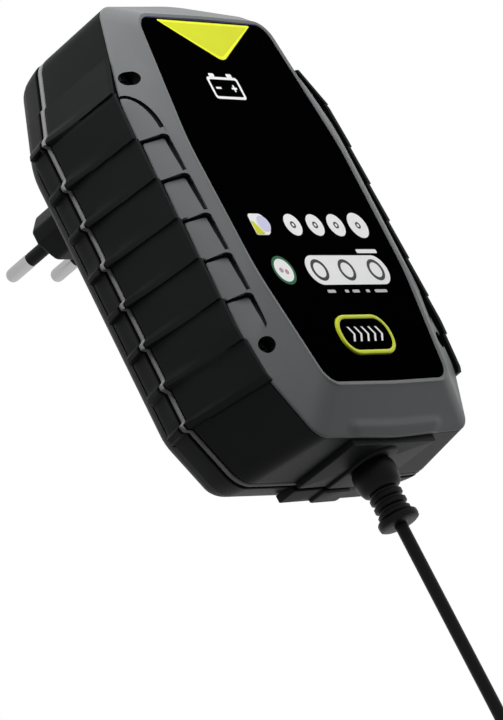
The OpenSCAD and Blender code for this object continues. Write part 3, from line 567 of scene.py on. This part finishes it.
def tile_point(side, across, z, depth):
    """A point on the outer slope of the band: across its width from the edge, and sunk below it."""
    span = math.hypot(1, band_slope)
    x = side_w(z) - across + depth * -band_slope / span
    y = -rim_skirt - band_slope * across + depth / span
    return [side * x, y, z]


def tile_floor(i, across, z):
    """How deep tile i lies under the band."""
    progress = (tile_tops[i] - z) / (tile_tops[i] - tile_lows[i])
    return (tile_deep * (1 - progress) + 0.1) * max(0.0, across / tile_w) - 0.02


def tile_corner(i):
    """Radii across and down of a tile's upper inner corner."""
    return (tile_w, (tile_tops[i] - tile_lows[i]) * 0.85) if i == 0 else (1.5, 1.5)


def tile_pocket(i, side):
    """A cutter whose floor is a tile's sunken face."""
    top, low = tile_tops[i], tile_lows[i] + 0.25
    rx, rz = tile_corner(i)
    bend_angles = np.linspace(0, math.pi / 2, 10)[1:]
    levels = list(np.linspace(low, top - rz, 4))
    levels += [top - rz * (1 - math.sin(a)) for a in bend_angles]
    rings = []
    for z in levels:
        bend = max(0.0, (z - (top - rz)) / rz)
        inner = tile_w - rx * (1 - math.sqrt(max(0.0, 1 - bend * bend)))
        cross = np.linspace(-0.3, max(inner, -0.2), 9)
        ring = [tile_point(side, u, z, tile_floor(i, u, z)) for u in cross]
        rings.append(np.array(ring + [tile_point(side, u, z, -3.0) for u in cross[::-1]]))
    return rings


def tile_groove(i, side):
    """A cutter for the gap along a tile's top and inner side, whose faces carry painted shade."""
    top, low = tile_tops[i], tile_lows[i]
    rx, rz = tile_corner(i)
    h = groove_w / 2 - 0.02
    path = [(-2.5, top - h), (0.0, top - h)] if i else [(-0.9, top - h)]
    for a in np.linspace(0.02, math.pi / 2, 14):
        path.append((tile_w - rx + (rx - h) * math.sin(a), top - rz + (rz - h) * math.cos(a)))
    end = low + (top - low) * (0.12 if i == 0 else 0.05)
    path += [(tile_w - h, z) for z in np.linspace(top - rz, end, 6)[1:]]
    path = np.array(path)
    run = np.gradient(path, axis=0)
    run /= np.linalg.norm(run, axis=1)[:, None]
    rings = []
    for k, ((u, z), (du, dz)) in enumerate(zip(path, run)):
        fade = 1 - smooth(0.8, 1.0, k / (len(path) - 1)) * 0.5
        w = h * (0.55 + 0.45 * fade)
        deep = max(0.35, tile_floor(i, u, z) + 0.9 * fade)
        corners = [(u - dz * w, z + du * w), (u + dz * w, z - du * w)]
        ring = [tile_point(side, a, b, deep) for a, b in corners]
        ring += [tile_point(side, a, b, -3.0) for a, b in reversed(corners)]
        rings.append(np.array(ring))
    return rings


def bezel():
    """The front cover's band, with its sunk tiles, their gaps and the deep screw holes, whose faces
    carry painted shade.
    """
    ticks = [z + d for z in steps[:-1] for d in (-0.05, 0.05, 0.3)]
    ts = stations(ticks, 2.0)
    a = at(case_line, ts)
    b = at(rounded(fascia_corners, -rim), ts)
    shares = [0, 0, 0.004, 0.012, 0.03, 0.07, 0.12, 0.18, 0.25, 0.32, 0.39, 0.46, 0.52, 0.56]
    shares += [0.59, 0.61, 0.63, 0.65, 0.68, 0.72, 0.78, 0.84, 0.9, 0.95, 0.97, 0.985, 1.0]
    side = smooth(-52, -40, a[:, 1]) * (1 - smooth(44, 58, a[:, 1]))
    rows = []
    for s in shares:
        p = (1 - s) * a + s * b
        slopes = s / crease, (1 - s) / (1 - crease)
        soft = -math.log(sum(math.exp(-crease_turn * slope) for slope in slopes)) / crease_turn
        y = -rim_skirt * (1 - s) - front_d * s - crease_lift * side * min(*slopes, max(0, soft))
        flare = tile_edge(a[:, 1]) * (1 - s / crease if s < crease else 0)
        rows.append(np.stack([p[:, 0] + np.sign(p[:, 0]) * flare, y, p[:, 1]], 1))
    for row, y in zip(rows[:4], (0.0, -0.2, -0.4, -0.53)):
        row[:, 1] = y
    for k, proud in ((-2, 0.12), (-1, 0.13)):
        rows[k][:, 1] -= proud
    # the outlet's pad carries on over the bottom edge
    grid = np.array(rows)
    beside = smooth(pad_half + 0.2, pad_half + 0.7, np.abs(grid[:, :, 0]))
    pad = (1 - beside) * (grid[:, :, 2] < -50)
    ramp = np.interp(shares, [0, 0.02, 0.24, 0.3, 1], [0.0, 0.35, 0.75, 0.0, 0.0])[:, None]
    grid[:, :, 1] -= pad * ramp * 0.8
    grid[:, :, 2] -= pad * ramp * 0.6
    shut = [
        np.stack([q[:, 0], np.full(len(ts), y), q[:, 1]], 1)
        for q, y in (
            (at(rounded(fascia_corners, -0.3), ts), -front_d - 0.05),
            (at(rounded(fascia_corners, -0.14), ts), -front_d + 0.12),
            (at(rounded(fascia_corners, -0.14), ts), -front_d + 0.8),
            (at(rounded(fascia_corners, 1.4), ts), -front_d + 0.8),
            (at(rounded(fascia_corners, 1.4), ts), -front_d + 2.4),
            (at(rounded(case_corners, wall + 0.8), ts), -1.2),
            (at(rounded(case_corners, wall), ts), 0.0),
        )
    ]
    verts, faces = loft(list(grid) + shut, loop=True)
    obj = mesh_piece("cover_bezel", verts, faces, "case", [finishes["grey_cover"]], sharp=50)
    sides = [(i, side) for i in range(len(tile_tops)) for side in (-1, 1)]
    carve(obj, tool([tile_pocket(*each) for each in sides], finishes["grey_cover"]))
    # the grooves' faces take the painted shade
    carve(obj, tool([tile_groove(*each) for each in sides], groove_painted_shade))
    holes = []
    for x0 in (-screw_x, screw_x):
        for z0 in screw_levels:
            level = -rim_skirt - band_slope * (side_w(z0) - abs(x0))
            hole = [(2.2, 1.0), (2.2, level + 0.5), (2.3, level + 0.1)]
            hole += [(2.5, level - 0.2), (3.4, level - 4)]
            holes.append(lathe(hole, (x0, 0, z0), "y", 48))
    # the holes' walls take the painted shade
    carve(obj, tool(holes, gap_painted_shade))
    obj.data.set_sharp_from_angle(angle=math.radians(32))
    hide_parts("front_cover")


bezel()

# ---------------------------------------------------------------- fascia and its print

face_y = -front_d
button_x, button_z = -0.5, -40.0
button_w, button_h, button_r = 22.6, 11.8, 5.4


def print_2d(name, loops, body, mat, high=0.04, base=None):
    """A thin printed shape: loops of (x, z), the first its outline and the rest its holes."""
    y0 = face_y if base is None else base
    loops = [[tuple(map(float, p)) for p in loop] for loop in loops]
    flat = [p for loop in loops for p in loop]
    tris = tessellate_polygon([[Vector((x, z, 0)) for x, z in loop] for loop in loops])
    n = len(flat)
    verts = [(x, y0 - high, z) for x, z in flat] + [(x, y0 + 0.03, z) for x, z in flat]
    faces = [tuple(t) for t in tris] + [tuple(n + i for i in reversed(t)) for t in tris]
    start = 0
    for loop in loops:
        m = len(loop)
        for k in range(m):
            a, b = start + k, start + (k + 1) % m
            faces.append((a, b, n + b, n + a))
        start += m
    return mesh_piece(name, verts, faces, body, [mat], sharp=30)


def fascia():
    """The glossy panel, with the opening that the button works in."""
    ts = stations([], 1.3)
    rings = slab(at(rounded(fascia_corners, 0.02), ts), face_y, face_y + 0.8, 0.22, 0.0)
    verts, faces = loft(along_y(rings))
    obj = mesh_piece("fascia_plate", verts, faces, "case", [finishes["gloss_black"]], sharp=30)
    slot = rounded_box(button_w + 0.5, button_h + 0.5, button_r + 0.1, 12) + (button_x, button_z)
    rings = [(inset_loop(slot, -0.25), face_y - 0.3), (slot, face_y + 0.08), (slot, face_y + 1.2)]
    carve(obj, tool([along_y(rings)], finishes["gloss_black"]))
    obj.data.set_sharp_from_angle(angle=math.radians(30))
    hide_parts("fascia_panel")


fascia()


def rounded_polygon(points, radii, n=8):
    """A polygon whose corners are rounded by the given radii, counter-clockwise."""
    out = []
    m = len(points)
    for i in range(m):
        a, p, b = (np.array(points[j % m], float) for j in (i - 1, i, i + 1))
        u, v = (a - p) / np.linalg.norm(a - p), (b - p) / np.linalg.norm(b - p)
        half = math.acos(max(-1, min(1, float(u @ v)))) / 2
        r = radii[i]
        centre = p + (u + v) / np.linalg.norm(u + v) * r / math.sin(half)
        p0, p1 = p + u * r / math.tan(half), p + v * r / math.tan(half)
        a0 = math.atan2(*(p0 - centre)[::-1])
        a1 = math.atan2(*(p1 - centre)[::-1])
        turn = (a1 - a0 + math.pi) % (2 * math.pi) - math.pi
        for k in range(n):
            a = a0 + turn * k / (n - 1)
            out.append(tuple(centre + r * np.array([math.cos(a), math.sin(a)])))
    return np.array(out)


def bar(w, h, r, x, z, n):
    """A rounded bar about a point."""
    return rounded_box(w, h, r, n) + (x, z)


def hoop(x, z, outer, inner, n=48, hole_n=48):
    """A ring's outline and its hole."""
    return [circle(x, z, outer, n), circle(x, z, inner, hole_n)[::-1]]


def prints():
    """The fascia's plain printed marks, which stand where the windows and captions are."""

    def mark(name, loops, mat, high=0.04):
        print_2d("print_" + name, loops, "case", mat, high=high)

    # pointer at the top
    top, tip_x = 57.5, 0.4
    wedge = [(-19.8, top), (tip_x, top - 12.6), (20.4, top)]
    edge = rounded_polygon(wedge, [0.25, 3.6, 0.25])
    wedge = [(-18.0, top - 0.7), (tip_x, top - 11.4), (18.6, top - 0.7)]
    inner = rounded_polygon(wedge, [0.2, 3.0, 0.2])
    mark("wedge_edge", [edge, inner[::-1]], lime_edge)
    mark("wedge", [inner], lime_print, high=0.03)
    mark("top_line", [[(-25.5, 57.95), (25.5, 57.95), (25.5, 58.15), (-25.5, 58.15)]], navy_print)
    # battery pictogram in the upper field
    cell_x, cell_z, minus_x, plus_x = -4.5, 36.3, -7.8, -1.2
    outline = [bar(13, 7, 1, cell_x, cell_z, 5), bar(11.4, 5.4, 0.6, cell_x, cell_z, 5)[::-1]]
    mark("battery", outline, white_print)
    for side, x in (("left", -8.2), ("right", -0.8)):
        mark("battery_post_" + side, [bar(2.2, 1.2, 0.2, x, 40.3, 3)], white_print)
    mark("battery_minus", [bar(2.2, 0.6, 0.1, minus_x, cell_z, 3)], white_print)
    mark("battery_plus_a", [bar(2.2, 0.6, 0.1, plus_x, cell_z, 3)], white_print)
    mark("battery_plus_b", [bar(0.6, 2.2, 0.1, plus_x, cell_z, 3)], white_print, high=0.05)
    # first row: charge state window and four round windows
    window = [(-24.2, -9.6), (-18.6, -9.6), (-16.3, -6.3), (-18.6, -3.1), (-24.2, -3.1)]
    mark("state_window", [rounded_polygon(window, [0.6, 2.4, 1.6, 2.4, 1.2])], white_print)
    mark("state_lilac", [circle(-19.2, -6.2, 2.5, 36)], lilac_print, high=0.06)
    corner = [(-24.0, -9.4), (-20.4, -9.4), (-23.2, -5.4), (-24.0, -5.4)]
    mark("state_yellow", [rounded_polygon(corner, [0.4, 0.4, 0.3, 0.2])], lime_print, high=0.08)
    row_z = -6.4
    for k, (x, r) in enumerate(((-6.9, 3.35), (2.65, 3.35), (11.8, 3.45), (21.5, 3.95))):
        mark(f"level_{k}", [circle(x, row_z, r, 48)], white_print)
        mark(f"level_mark_{k}", hoop(x, row_z, 1.05, 0.5, 32, 24), dark_print, high=0.06)
    mark("row_bar", [bar(9, 1.2, 0.4, 19.1, -14.5, 4)], white_print)
    # second row: fault window and the mode window
    fault_x, row_z = -20.8, -20.3
    mark("fault_ring", hoop(fault_x, row_z, 4.3, 3.5), green_print)
    mark("fault", [circle(fault_x, row_z, 3.45, 48)], white_print)
    for k, x in enumerate((-21.9, -19.9)):
        mark(f"fault_mark_{k}", [circle(x, row_z - 0.5 * k, 0.75, 24)], pink_print, high=0.06)
    mark("modes", [bar(35.2, 9.0, 4.45, 6.7, row_z, 14)], white_print)
    for k, x in enumerate((-5.6, 6.2, 19.0)):
        mark(f"mode_ring_{k}", hoop(x, row_z, 3.3, 2.3), dark_print, high=0.06)
    for k, (x, w) in enumerate(((-5.2, 3.4), (1.4, 1.6), (5.4, 3.0), (10.6, 1.6), (16.4, 5.4))):
        mark(f"mode_tick_{k}", [bar(w, 0.9, 0.3, x, -26.8, 4)], grey_print)


prints()


def mode_button():
    """The button's key, the ring round it and the plain arrow heads on it."""
    loop = rounded_box(button_w, button_h, button_r, 14) + (button_x, button_z)
    top, foot, ring_w = face_y - 0.4, face_y + 4, 1.2
    hole = inset_loop(loop, ring_w)
    verts, faces = loft(along_y(slab(hole, top, foot, 0.3, 0.0)))
    key = mesh_piece("mode_key", verts, faces, "button", [finishes["gloss_black"]], sharp=30)
    rings = [(hole, foot), (hole, top + 0.12), (inset_loop(loop, ring_w - 0.18), top)]
    rings += [(inset_loop(loop, 0.25), top), (inset_loop(loop, 0.07), top + 0.08)]
    rings += [(loop, top + 0.28), (loop, foot)]
    verts, faces = loft(along_y(rings), loop=True)
    ring = mesh_piece("mode_key_ring", verts, faces, "button", [finishes["ring_yellow"]], sharp=40)
    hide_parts("mode_button")
    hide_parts("button_ring")
    half, stroke, pitch = 2.2, 0.8, 3.0
    for k in range(5):
        x, z = button_x - 7.1 + pitch * k, button_z
        head = [(x, z - half), (x + stroke, z - half), (x + half, z)]
        head += [(x + stroke, z + half), (x, z + half), (x + half - stroke, z)]
        print_2d(f"print_next_{k}", [head], "button", white_print, base=top)


mode_button()

# ---------------------------------------------------------------- shells with stepped grips

lip_h, lip_slope, lip_front, lip_rear = 1.5, 1.2, 0.8, 2.0
grip_ahead = 1.4
grip_flare = 0.8
grip_tail, grip_tail_in = 6.6, 1.4


def lip_share(z):
    """1 on the lip at a step's lower edge, falling to 0 just above it, with the edge's rounding."""
    share = np.zeros_like(z)
    for top, low in zip([grip_top] + steps, steps):
        above = z - low
        lip = np.clip(1 - (above - lip_h) / lip_slope, 0, 1)
        lip = lip - 0.12 * np.clip(1 - above / 0.4, 0, 1) ** 2
        share = np.where((above > 0) & (z <= top), lip, share)
    return share


def shell_ring(ts, y, inset=0.0, grips=True, squeeze=0.0):
    """The shells' outline at a depth, standing out at the grips."""
    f = min(1.0, y / shell_d)
    p = (1 - f) * at(rounded(case_corners, inset), ts) + f * at(rounded(seam_corners, inset), ts)
    if not grips:
        return p
    x, z = p[:, 0], p[:, 1]
    first = z > steps[0]
    proud = np.interp(z, [grip_low, -33, 25, grip_top], [0.9, 3.6, 3.9, 3.2])
    front = side_w(z) + proud + grip_flare * step_share(z)
    share = lip_share(z)
    lip = np.where(first, lip_front + (lip_rear - lip_front) * share, lip_rear * share)
    lip = lip * (1 if y > shell_d else f**3)
    tail = max(0.0, (y - rear_y) / grip_tail)
    reach = (1 - f) * front + f * (seam_w(z) - grip_tail_in * tail)
    reach = reach + lip * (1 - 0.2 * tail) - squeeze
    grip = (z < grip_top) & (z > grip_low)
    p = p.copy()
    p[:, 0] = np.where(grip, np.sign(x) * np.maximum(np.abs(x) - inset, reach), x)
    return p


lip_ticks = (-0.06, 0.06, 0.2, 0.4, 1.0, 1.5, 2.1, 2.7)
shell_ts = stations([z + d for z in [grip_top] + steps for d in lip_ticks], 1.6)


def shell_rings(rows):
    """Rings for (depth, inset, grips, squeeze) rows."""
    return [(shell_ring(shell_ts, y, *rest), y) for y, *rest in rows]


def lip_ring(level, squeeze, rest):
    """The grips' front edge before the cover's skirt; beyond the grips the ring rests behind it."""
    p = shell_ring(shell_ts, 0.2, 0, True, squeeze)
    grip = (p[:, 1] < grip_top) & (p[:, 1] > grip_low)
    return np.stack([p[:, 0], np.where(grip, level, rest), p[:, 1]], 1)


def shell_piece(name, rings, marks, loop=False):
    """A black shell whose marked faces carry painted shade."""
    verts, faces = loft(rings, loop)
    slots = [finishes["black_shell"], gap_painted_shade]
    return mesh_piece(name, verts, faces, "case", slots, sharp=30, marks=marks)


def mid_shell():
    """The middle shell, whose grips start before the cover's skirt."""
    rest, edge_y = 0.2, -grip_ahead
    front = [(0.0, wall), (0.0, 0.5), (0.03, 0.2), (0.12, 0.05), (0.18, 0)]
    inside = [(rest, 1.5), (edge_y + 0.3, 1.5)]
    lip_rows = [(edge_y + 0.1, 1.4), (edge_y, 1.2), (edge_y, 0.4), (edge_y + 0.1, 0.12)]
    lip_rows += [(edge_y + 0.4, 0), (-0.5, 0)]
    rings = along_y(shell_rings([(y, inset, False, 0) for y, inset in front]))
    for k, (level, squeeze) in enumerate(inside + lip_rows):
        rings.append(lip_ring(level, squeeze, rest + 0.03 * k))
    # rings at the front edge by the cover and at the seam's rounded edge carry painted shade
    front_dark = len(front) + len(inside)
    side_levels = [0.7] + list(np.linspace(1.8, shell_d - 1.5, 19))
    seam_edge = [(0.95, 0.02), (0.75, 0.14), (0.45, 0.4), (0.0, 0.8)]
    rings += along_y(shell_rings([(y, 0, True, 0) for y in side_levels]))
    rings += along_y(shell_rings([(shell_d - d, inset, True, inset) for d, inset in seam_edge]))
    rings += along_y([(at(rounded(seam_corners, wall), shell_ts), shell_d)])
    rear_dark = len(rings) - len(seam_edge)
    marks = [int(k < front_dark or k >= rear_dark) for k in range(len(rings)) for _ in shell_ts]
    obj = shell_piece("shell_middle", rings, marks, loop=True)
    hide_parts("mid_shell")


mid_shell()


def gasket():
    """The seal in the seam."""
    outside = [(shell_d, 0.6), (shell_d + 0.06, 0.32), (shell_d + 0.25, 0.14)]
    outside += [(shell_d + 0.55, 0.08), (rear_y - 0.25, 0.14), (rear_y - 0.06, 0.32), (rear_y, 0.6)]
    rings = shell_rings([(y, inset, True, inset) for y, inset in outside])
    inner = at(rounded(seam_corners, 1.8), shell_ts)
    verts, faces = loft(along_y(rings + [(inner, rear_y), (inner, shell_d)]), loop=True)
    obj = mesh_piece("seal_ring", verts, faces, "case", [finishes["seal_grey"]], sharp=34)
    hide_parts("seam_gasket")


gasket()


def rear_shell():
    """The rear cover with its grips' tails, its domed edge and the pocket of the bare plate."""
    inner = at(rounded(seam_corners, 7), shell_ts)
    rings = [(inner * 0.5, back_y - wall), (inner, back_y - wall), (inner, rear_y + 1)]
    rings.append((at(rounded(seam_corners, wall), shell_ts), rear_y))
    rows = [(0.0, 0.8, 0.8), (0.35, 0.4, 0.4), (0.65, 0.14, 0.14), (0.85, 0.02, 0.02)]
    rows += [(1.1, 0.06, 0), (2.2, 0.25, 0), (3.6, 0.55, 0), (5.2, 0.95, 0)]
    rows += [(6.2, 1.25, 0.1), (6.5, 1.35, 0.35), (grip_tail, 1.4, 0.8)]
    rings += shell_rings([(rear_y + d, inset, True, squeeze) for d, inset, squeeze in rows])
    dome = [(1.45, 6.65), (1.6, 6.9), (2.0, 7.8), (2.6, 8.7), (3.3, 9.5), (4.1, 10.2)]
    dome += [(5.0, 10.75), (5.9, 11.15), (6.7, 11.34), (7.3, rear_d)]
    rings += [(at(rounded(seam_corners, inset), shell_ts), rear_y + d) for inset, d in dome]
    flat = rings[-1][0]
    rings += [(flat * 0.97, back_y), (flat * 0.5, back_y)]
    marks = []
    # the rings within 0.66 mm behind the seam carry painted shade
    for (_, y0), (_, y1) in zip(rings, rings[1:]):
        dark = rear_y <= min(y0, y1) and max(y0, y1) <= rear_y + 0.66
        marks += [int(dark)] * len(shell_ts)
    obj = shell_piece("shell_rear", along_y(rings), marks + [0, 0])
    plate_w, plate_h, plate_z = 46, 34, -22
    pocket = rounded_box(plate_w, plate_h, 1.2, 6) + (0, plate_z)
    mouth = inset_loop(pocket, -0.3)
    cut = [(pocket, back_y - 0.45), (pocket, back_y - 0.1)]
    cut += [(mouth, back_y + 0.2), (mouth, back_y + 1)]
    carve(obj, tool([along_y(cut)], finishes["black_shell"]))
    obj.data.set_sharp_from_angle(angle=math.radians(30))
    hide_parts("rear_cover")
    plate = rounded_box(plate_w - 0.4, plate_h - 0.4, 1.0, 6) + (0, plate_z)
    verts, faces = loft(along_y(slab(plate, back_y - 0.42, back_y - 0.02, 0.0, 0.08)))
    label = mesh_piece("rating_foil", verts, faces, "case", [finishes["plate_grey"]], sharp=30)
    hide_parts("rating_plate")


rear_shell()


def outlet_piece(name, loop, proud, edge):
    """A block that stands out of the bottom edge."""
    verts, faces = loft(along_z(slab(loop, bottom_z - proud, bottom_z + 1.2, edge, 0.0)))
    return mesh_piece(name, verts, faces, "case", [finishes["black_shell"]], sharp=30)


def outlet():
    """The raised pad and the rounded block that the lead leaves by, as front and rear halves."""
    block_r, block_y, pad_out, block_out = 6, 8.3, 1.0, 1.8
    for part, y0, y1 in (("middle", 0.8, shell_d - 0.05), ("rear", rear_y + 0.05, rear_y + 6)):
        loop = [(-pad_half, y0), (pad_half, y0), (pad_half, y1), (-pad_half, y1)]
        loop = rounded_polygon(loop, [0.4] * 4, 5)
        pad = outlet_piece("outlet_pad_" + part, loop, pad_out, 0.45)
        if part == "middle":
            turns = np.linspace(math.pi, 2 * math.pi, 25)
            loop = [(block_r * math.cos(a), block_y + block_r * math.sin(a)) for a in turns]
            loop = np.array(loop + [(block_r, y1), (-block_r, y1)])
        else:
            loop = [(-block_r, y0), (block_r, y0), (block_r, y1), (-block_r, y1)]
            loop = rounded_polygon(loop, [0.4, 0.4, 1.2, 1.2], 5)
        block = outlet_piece("outlet_block_" + part, loop, block_out, 0.6)


outlet()

# ---------------------------------------------------------------- mains plug


def plug():
    """The plug's body and its two pins, each with the sleeve on its root."""
    w, f, h, tip = 17.65, 13.05, 6.85, 2.0
    shape = [(w, -tip), (w, tip), (f, h), (-f, h), (-w, tip), (-w, -tip), (-f, -h), (f, -h)]
    loop = rounded_polygon(shape, [1.6, 1.6, 2.4, 2.4, 1.6, 1.6, 2.4, 2.4], 7) + (0, plug_up)
    groove, round_r = inset_loop(loop, 0.35), 1.1
    rings = [(loop, back_y - 2), (loop, back_y + 0.9), (groove, back_y + 1.1)]
    rings += [(groove, back_y + 1.7), (loop, back_y + 1.9), (loop, back_y + 12)]
    for a in np.linspace(0, math.pi / 2, 7):
        edge = inset_loop(loop, round_r * (1 - math.cos(a)))
        rings.append((edge, plug_y - round_r + round_r * math.sin(a)))
    verts, faces = loft(along_y(rings))
    obj = mesh_piece("plug_body", verts, faces, "case", [finishes["black_shell"]], sharp=40)
    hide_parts("plug_insert")
    sleeve_end, pin_end, pin_apart = plug_y + 10, plug_y + 19, 18.6
    sleeve_line = [(1.95, plug_y - 2), (1.95, sleeve_end - 0.6), (1.87, sleeve_end - 0.2)]
    sleeve_line.append((1.6, sleeve_end))
    pin_line = [(1.55, sleeve_end - 2), (1.55, sleeve_end + 0.02), (1.9, sleeve_end + 0.05)]
    pin_line += [(2.0, sleeve_end + 0.3), (2.0, pin_end - 2.0), (1.96, pin_end - 1.4)]
    pin_line += [(1.8, pin_end - 0.8), (1.5, pin_end - 0.35), (1.0, pin_end - 0.06), (0.5, pin_end)]
    for side, x in (("left", -pin_apart / 2), ("right", pin_apart / 2)):
        verts, faces = loft(lathe(sleeve_line, (x, 0, plug_up), "y", 40))
        sleeve = mesh_piece("sleeve_" + side, verts, faces, "case", [finishes["black_shell"]])
        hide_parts("pin_sleeve_" + side)
        verts, faces = loft(lathe(pin_line, (x, 0, plug_up), "y", 40))
        pin = mesh_piece("pin_" + side, verts, faces, "case", [finishes["pin_metal"]])
        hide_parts("plug_pin_" + side)


plug()

# ---------------------------------------------------------------- strain relief, tie and connector


def relief():
    """The ribbed boot: a domed root, three ribs and an end collar."""
    profile = [(4.0, 0.5), (4.0, 0.0), (5.0, -0.02), (5.5, -0.35), (5.85, -1.2)]
    profile += [(5.98, -2.4), (6.0, -3.4), (5.9, -4.6), (5.6, -6.0), (5.1, -7.1), (4.6, -7.5)]
    first_rib, rib_pitch, rib_r, gap_r = -7.6, 2.45, 4.5, 3.7
    for k in range(3):
        top = first_rib - k * rib_pitch
        profile += [(gap_r + 0.05, top - 0.1), (gap_r, top - 0.75), (rib_r - 0.2, top - 0.95)]
        profile += [(rib_r, top - 1.15), (rib_r, top - 2.1), (rib_r - 0.2, top - 2.3)]
    profile += [(4.4, -14.95), (5.2, -15.1), (5.5, -15.5), (5.55, -16.3)]
    profile += [(5.4, -17.1), (4.8, -17.45), (1.9, -17.5)]
    root_z = bottom_z - 1.8
    verts, faces = loft(lathe([(r, root_z + z) for r, z in profile], (0, 11, 0), "z", 56))
    obj = mesh_piece("relief_boot", verts, faces, "case", [rib_black], sharp=32)
    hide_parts("strain_relief")


relief()


def frame_mesh(name, rings, slot, loop=False, sharp=36):
    """A piece of the case drawn in the frame's millimetres."""
    verts, faces = loft(rings, loop)
    return mesh_piece(name, verts * MM, faces, "case", [slot], sharp=sharp, metres=True)


def tie():
    """The strap round one side of the coil."""
    reach = cord_r + 0.5
    r0 = coil_r - coil_pitch * layer_turns - cord_r - 0.5 - 0.8
    r1 = coil_r + reach
    y0, y1 = cord_y - cord_r - 0.5, cord_y + coil_pitch * 3 + reach
    w, h, thick, half = r1 - r0, y1 - y0, 2.3, 4.5
    centre = coil_x - (r0 + r1) / 2, (y0 + y1) / 2
    outer = rounded_box(w + thick, h + thick, 3.0, 8) + centre
    inner = rounded_box(w, h, 2.0, 8) + centre
    waist = inset_loop(outer, -0.03)
    rows = [(inner, -half), (outer, -half), (waist, 0.2 - half)]
    rows += [(waist, half - 0.2), (outer, half), (inner, half)]
    rings = along_z([(loop, coil_z + z) for loop, z in rows])
    obj = frame_mesh("coil_strap", rings, strap_black, loop=True)
    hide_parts("coil_tie")
    return obj


strap = tie()


def connector():
    """The two-pole connector: a ribbed boot, the grooved shell and the shroud of one contact."""
    x, y, z0 = 46.0, cord_y + coil_pitch * 3, -227.0
    shell_z, shroud_z = z0 - 12, z0 - 36
    body = rounded_box(15.4, 8.2, 3.0, 8)
    boot = [(1.75, 0.0), (2.3, -0.1), (2.4, -0.4)]
    for k in range(5):
        z, r = -1.2 - 1.9 * k, 2.4 + 0.26 * k
        boot += [(r, z), (r - 0.5, z - 0.15), (r - 0.5, z - 0.8), (r + 0.1, z - 0.95)]
    boot += [(3.8, -11.4), (3.8, -12.6)]
    parts = [frame_mesh("connector_boot", lathe(boot, (x, y, z0), "z", 40), rib_black, sharp=32)]
    shape = [(inset_loop(body, 1.6), 0.0), (inset_loop(body, 0.7), -0.35)]
    shape += [(inset_loop(body, 0.2), -1.0), (body, -1.9), (body, -6.0)]
    waist = inset_loop(body, 0.45)
    for k in range(4):
        z = -7.0 - 2.6 * k
        shape += [(body, z), (waist, z - 0.3), (waist, z - 1.1), (body, z - 1.4)]
    shape += [(body, -22.6), (inset_loop(body, 0.3), -23.5), (inset_loop(body, 0.9), -24.0)]
    rings = along_z([(loop + (x, y), shell_z + z) for loop, z in shape])
    parts.append(frame_mesh("connector_shell", rings, finishes["black_shell"]))
    tube = [(3.8, 0.5), (3.8, -8.5), (3.6, -9.0), (3.1, -9.0), (2.9, -8.7), (2.9, -0.2)]
    rings = lathe([(r, shroud_z + z) for r, z in tube], (x + 3.7, y, 0), "z", 40)
    parts.append(frame_mesh("connector_shroud", rings, finishes["black_shell"], sharp=38))
    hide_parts("connector_body")
    return parts


connector_parts = connector()

# ---------------------------------------------------------------- floor, light

FLOOR_Z, FLOOR_HALF = -0.42, 6.0
floor_mesh = bpy.data.meshes.new("floor")
quarters = ((-1, -1), (1, -1), (1, 1), (-1, 1))
corners = [(x * FLOOR_HALF, y * FLOOR_HALF, FLOOR_Z) for x, y in quarters]
floor_mesh.from_pydata(corners, [], [(0, 1, 2, 3)])
floor = bpy.data.objects.new("floor", floor_mesh)
scene.collection.objects.link(floor)


def plain_white(tree, target, lit, seen):
    """Strength lit for light on the object, and seen for what the camera, gloss and glass see."""
    path = tree.nodes.new("ShaderNodeLightPath")
    total = None
    for name in ("Is Camera Ray", "Is Glossy Ray", "Is Transmission Ray"):
        if total is None:
            total = path.outputs[name]
            continue
        add = tree.nodes.new("ShaderNodeMath")
        add.operation = "ADD"
        add.use_clamp = True
        tree.links.new(total, add.inputs[0])
        tree.links.new(path.outputs[name], add.inputs[1])
        total = add.outputs[0]
    strength = spread(tree, total, 0, 1, lit, seen)
    tree.links.new(strength, target)


paper = bpy.data.materials.new("floor_paper")
paper.use_nodes = True
tree = paper.node_tree
sheet = tree.nodes["Principled BSDF"]
sheet.inputs["Base Color"].default_value = (0.3, 0.3, 0.3, 1)
sheet.inputs["Roughness"].default_value = 0.9
sheet.inputs["Specular IOR Level"].default_value = 0.1
sheet.inputs["Emission Color"].default_value = (1, 1, 1, 1)
plain_white(tree, sheet.inputs["Emission Strength"], 0.0, 0.9)
floor_mesh.materials.append(paper)

world = bpy.data.worlds.new("studio")
scene.world = world
world.use_nodes = True
sky = world.node_tree.nodes["Background"]
sky.inputs["Color"].default_value = (1, 1, 1, 1)
plain_white(world.node_tree, sky.inputs["Strength"], 0.2, 1.0)


def lamp(name, place, aim, size, watts):
    """A round lamp aimed at a point, unseen by the camera and in reflections."""
    data = bpy.data.lights.new(name, "AREA")
    data.shape = "DISK"
    data.size = size
    data.energy = watts
    obj = bpy.data.objects.new(name, data)
    scene.collection.objects.link(obj)
    obj.location = place
    obj.rotation_euler = (Vector(aim) - Vector(place)).to_track_quat("-Z", "Y").to_euler()
    obj.visible_camera = obj.visible_glossy = False


lamp("key", (-0.13, -0.19, 0.19), (0, -0.06, -0.03), 0.18, 1.0)
lamp("fill", (0.6, -0.7, 0.42), (0, -0.05, -0.05), 0.6, 2.2)
lamp("rim", (0.8, -0.2, 0.2), (0, -0.05, -0.03), 0.4, 2.6)
lamp("rear", (0.3, 0.9, 0.3), (0, -0.03, -0.05), 0.6, 6)
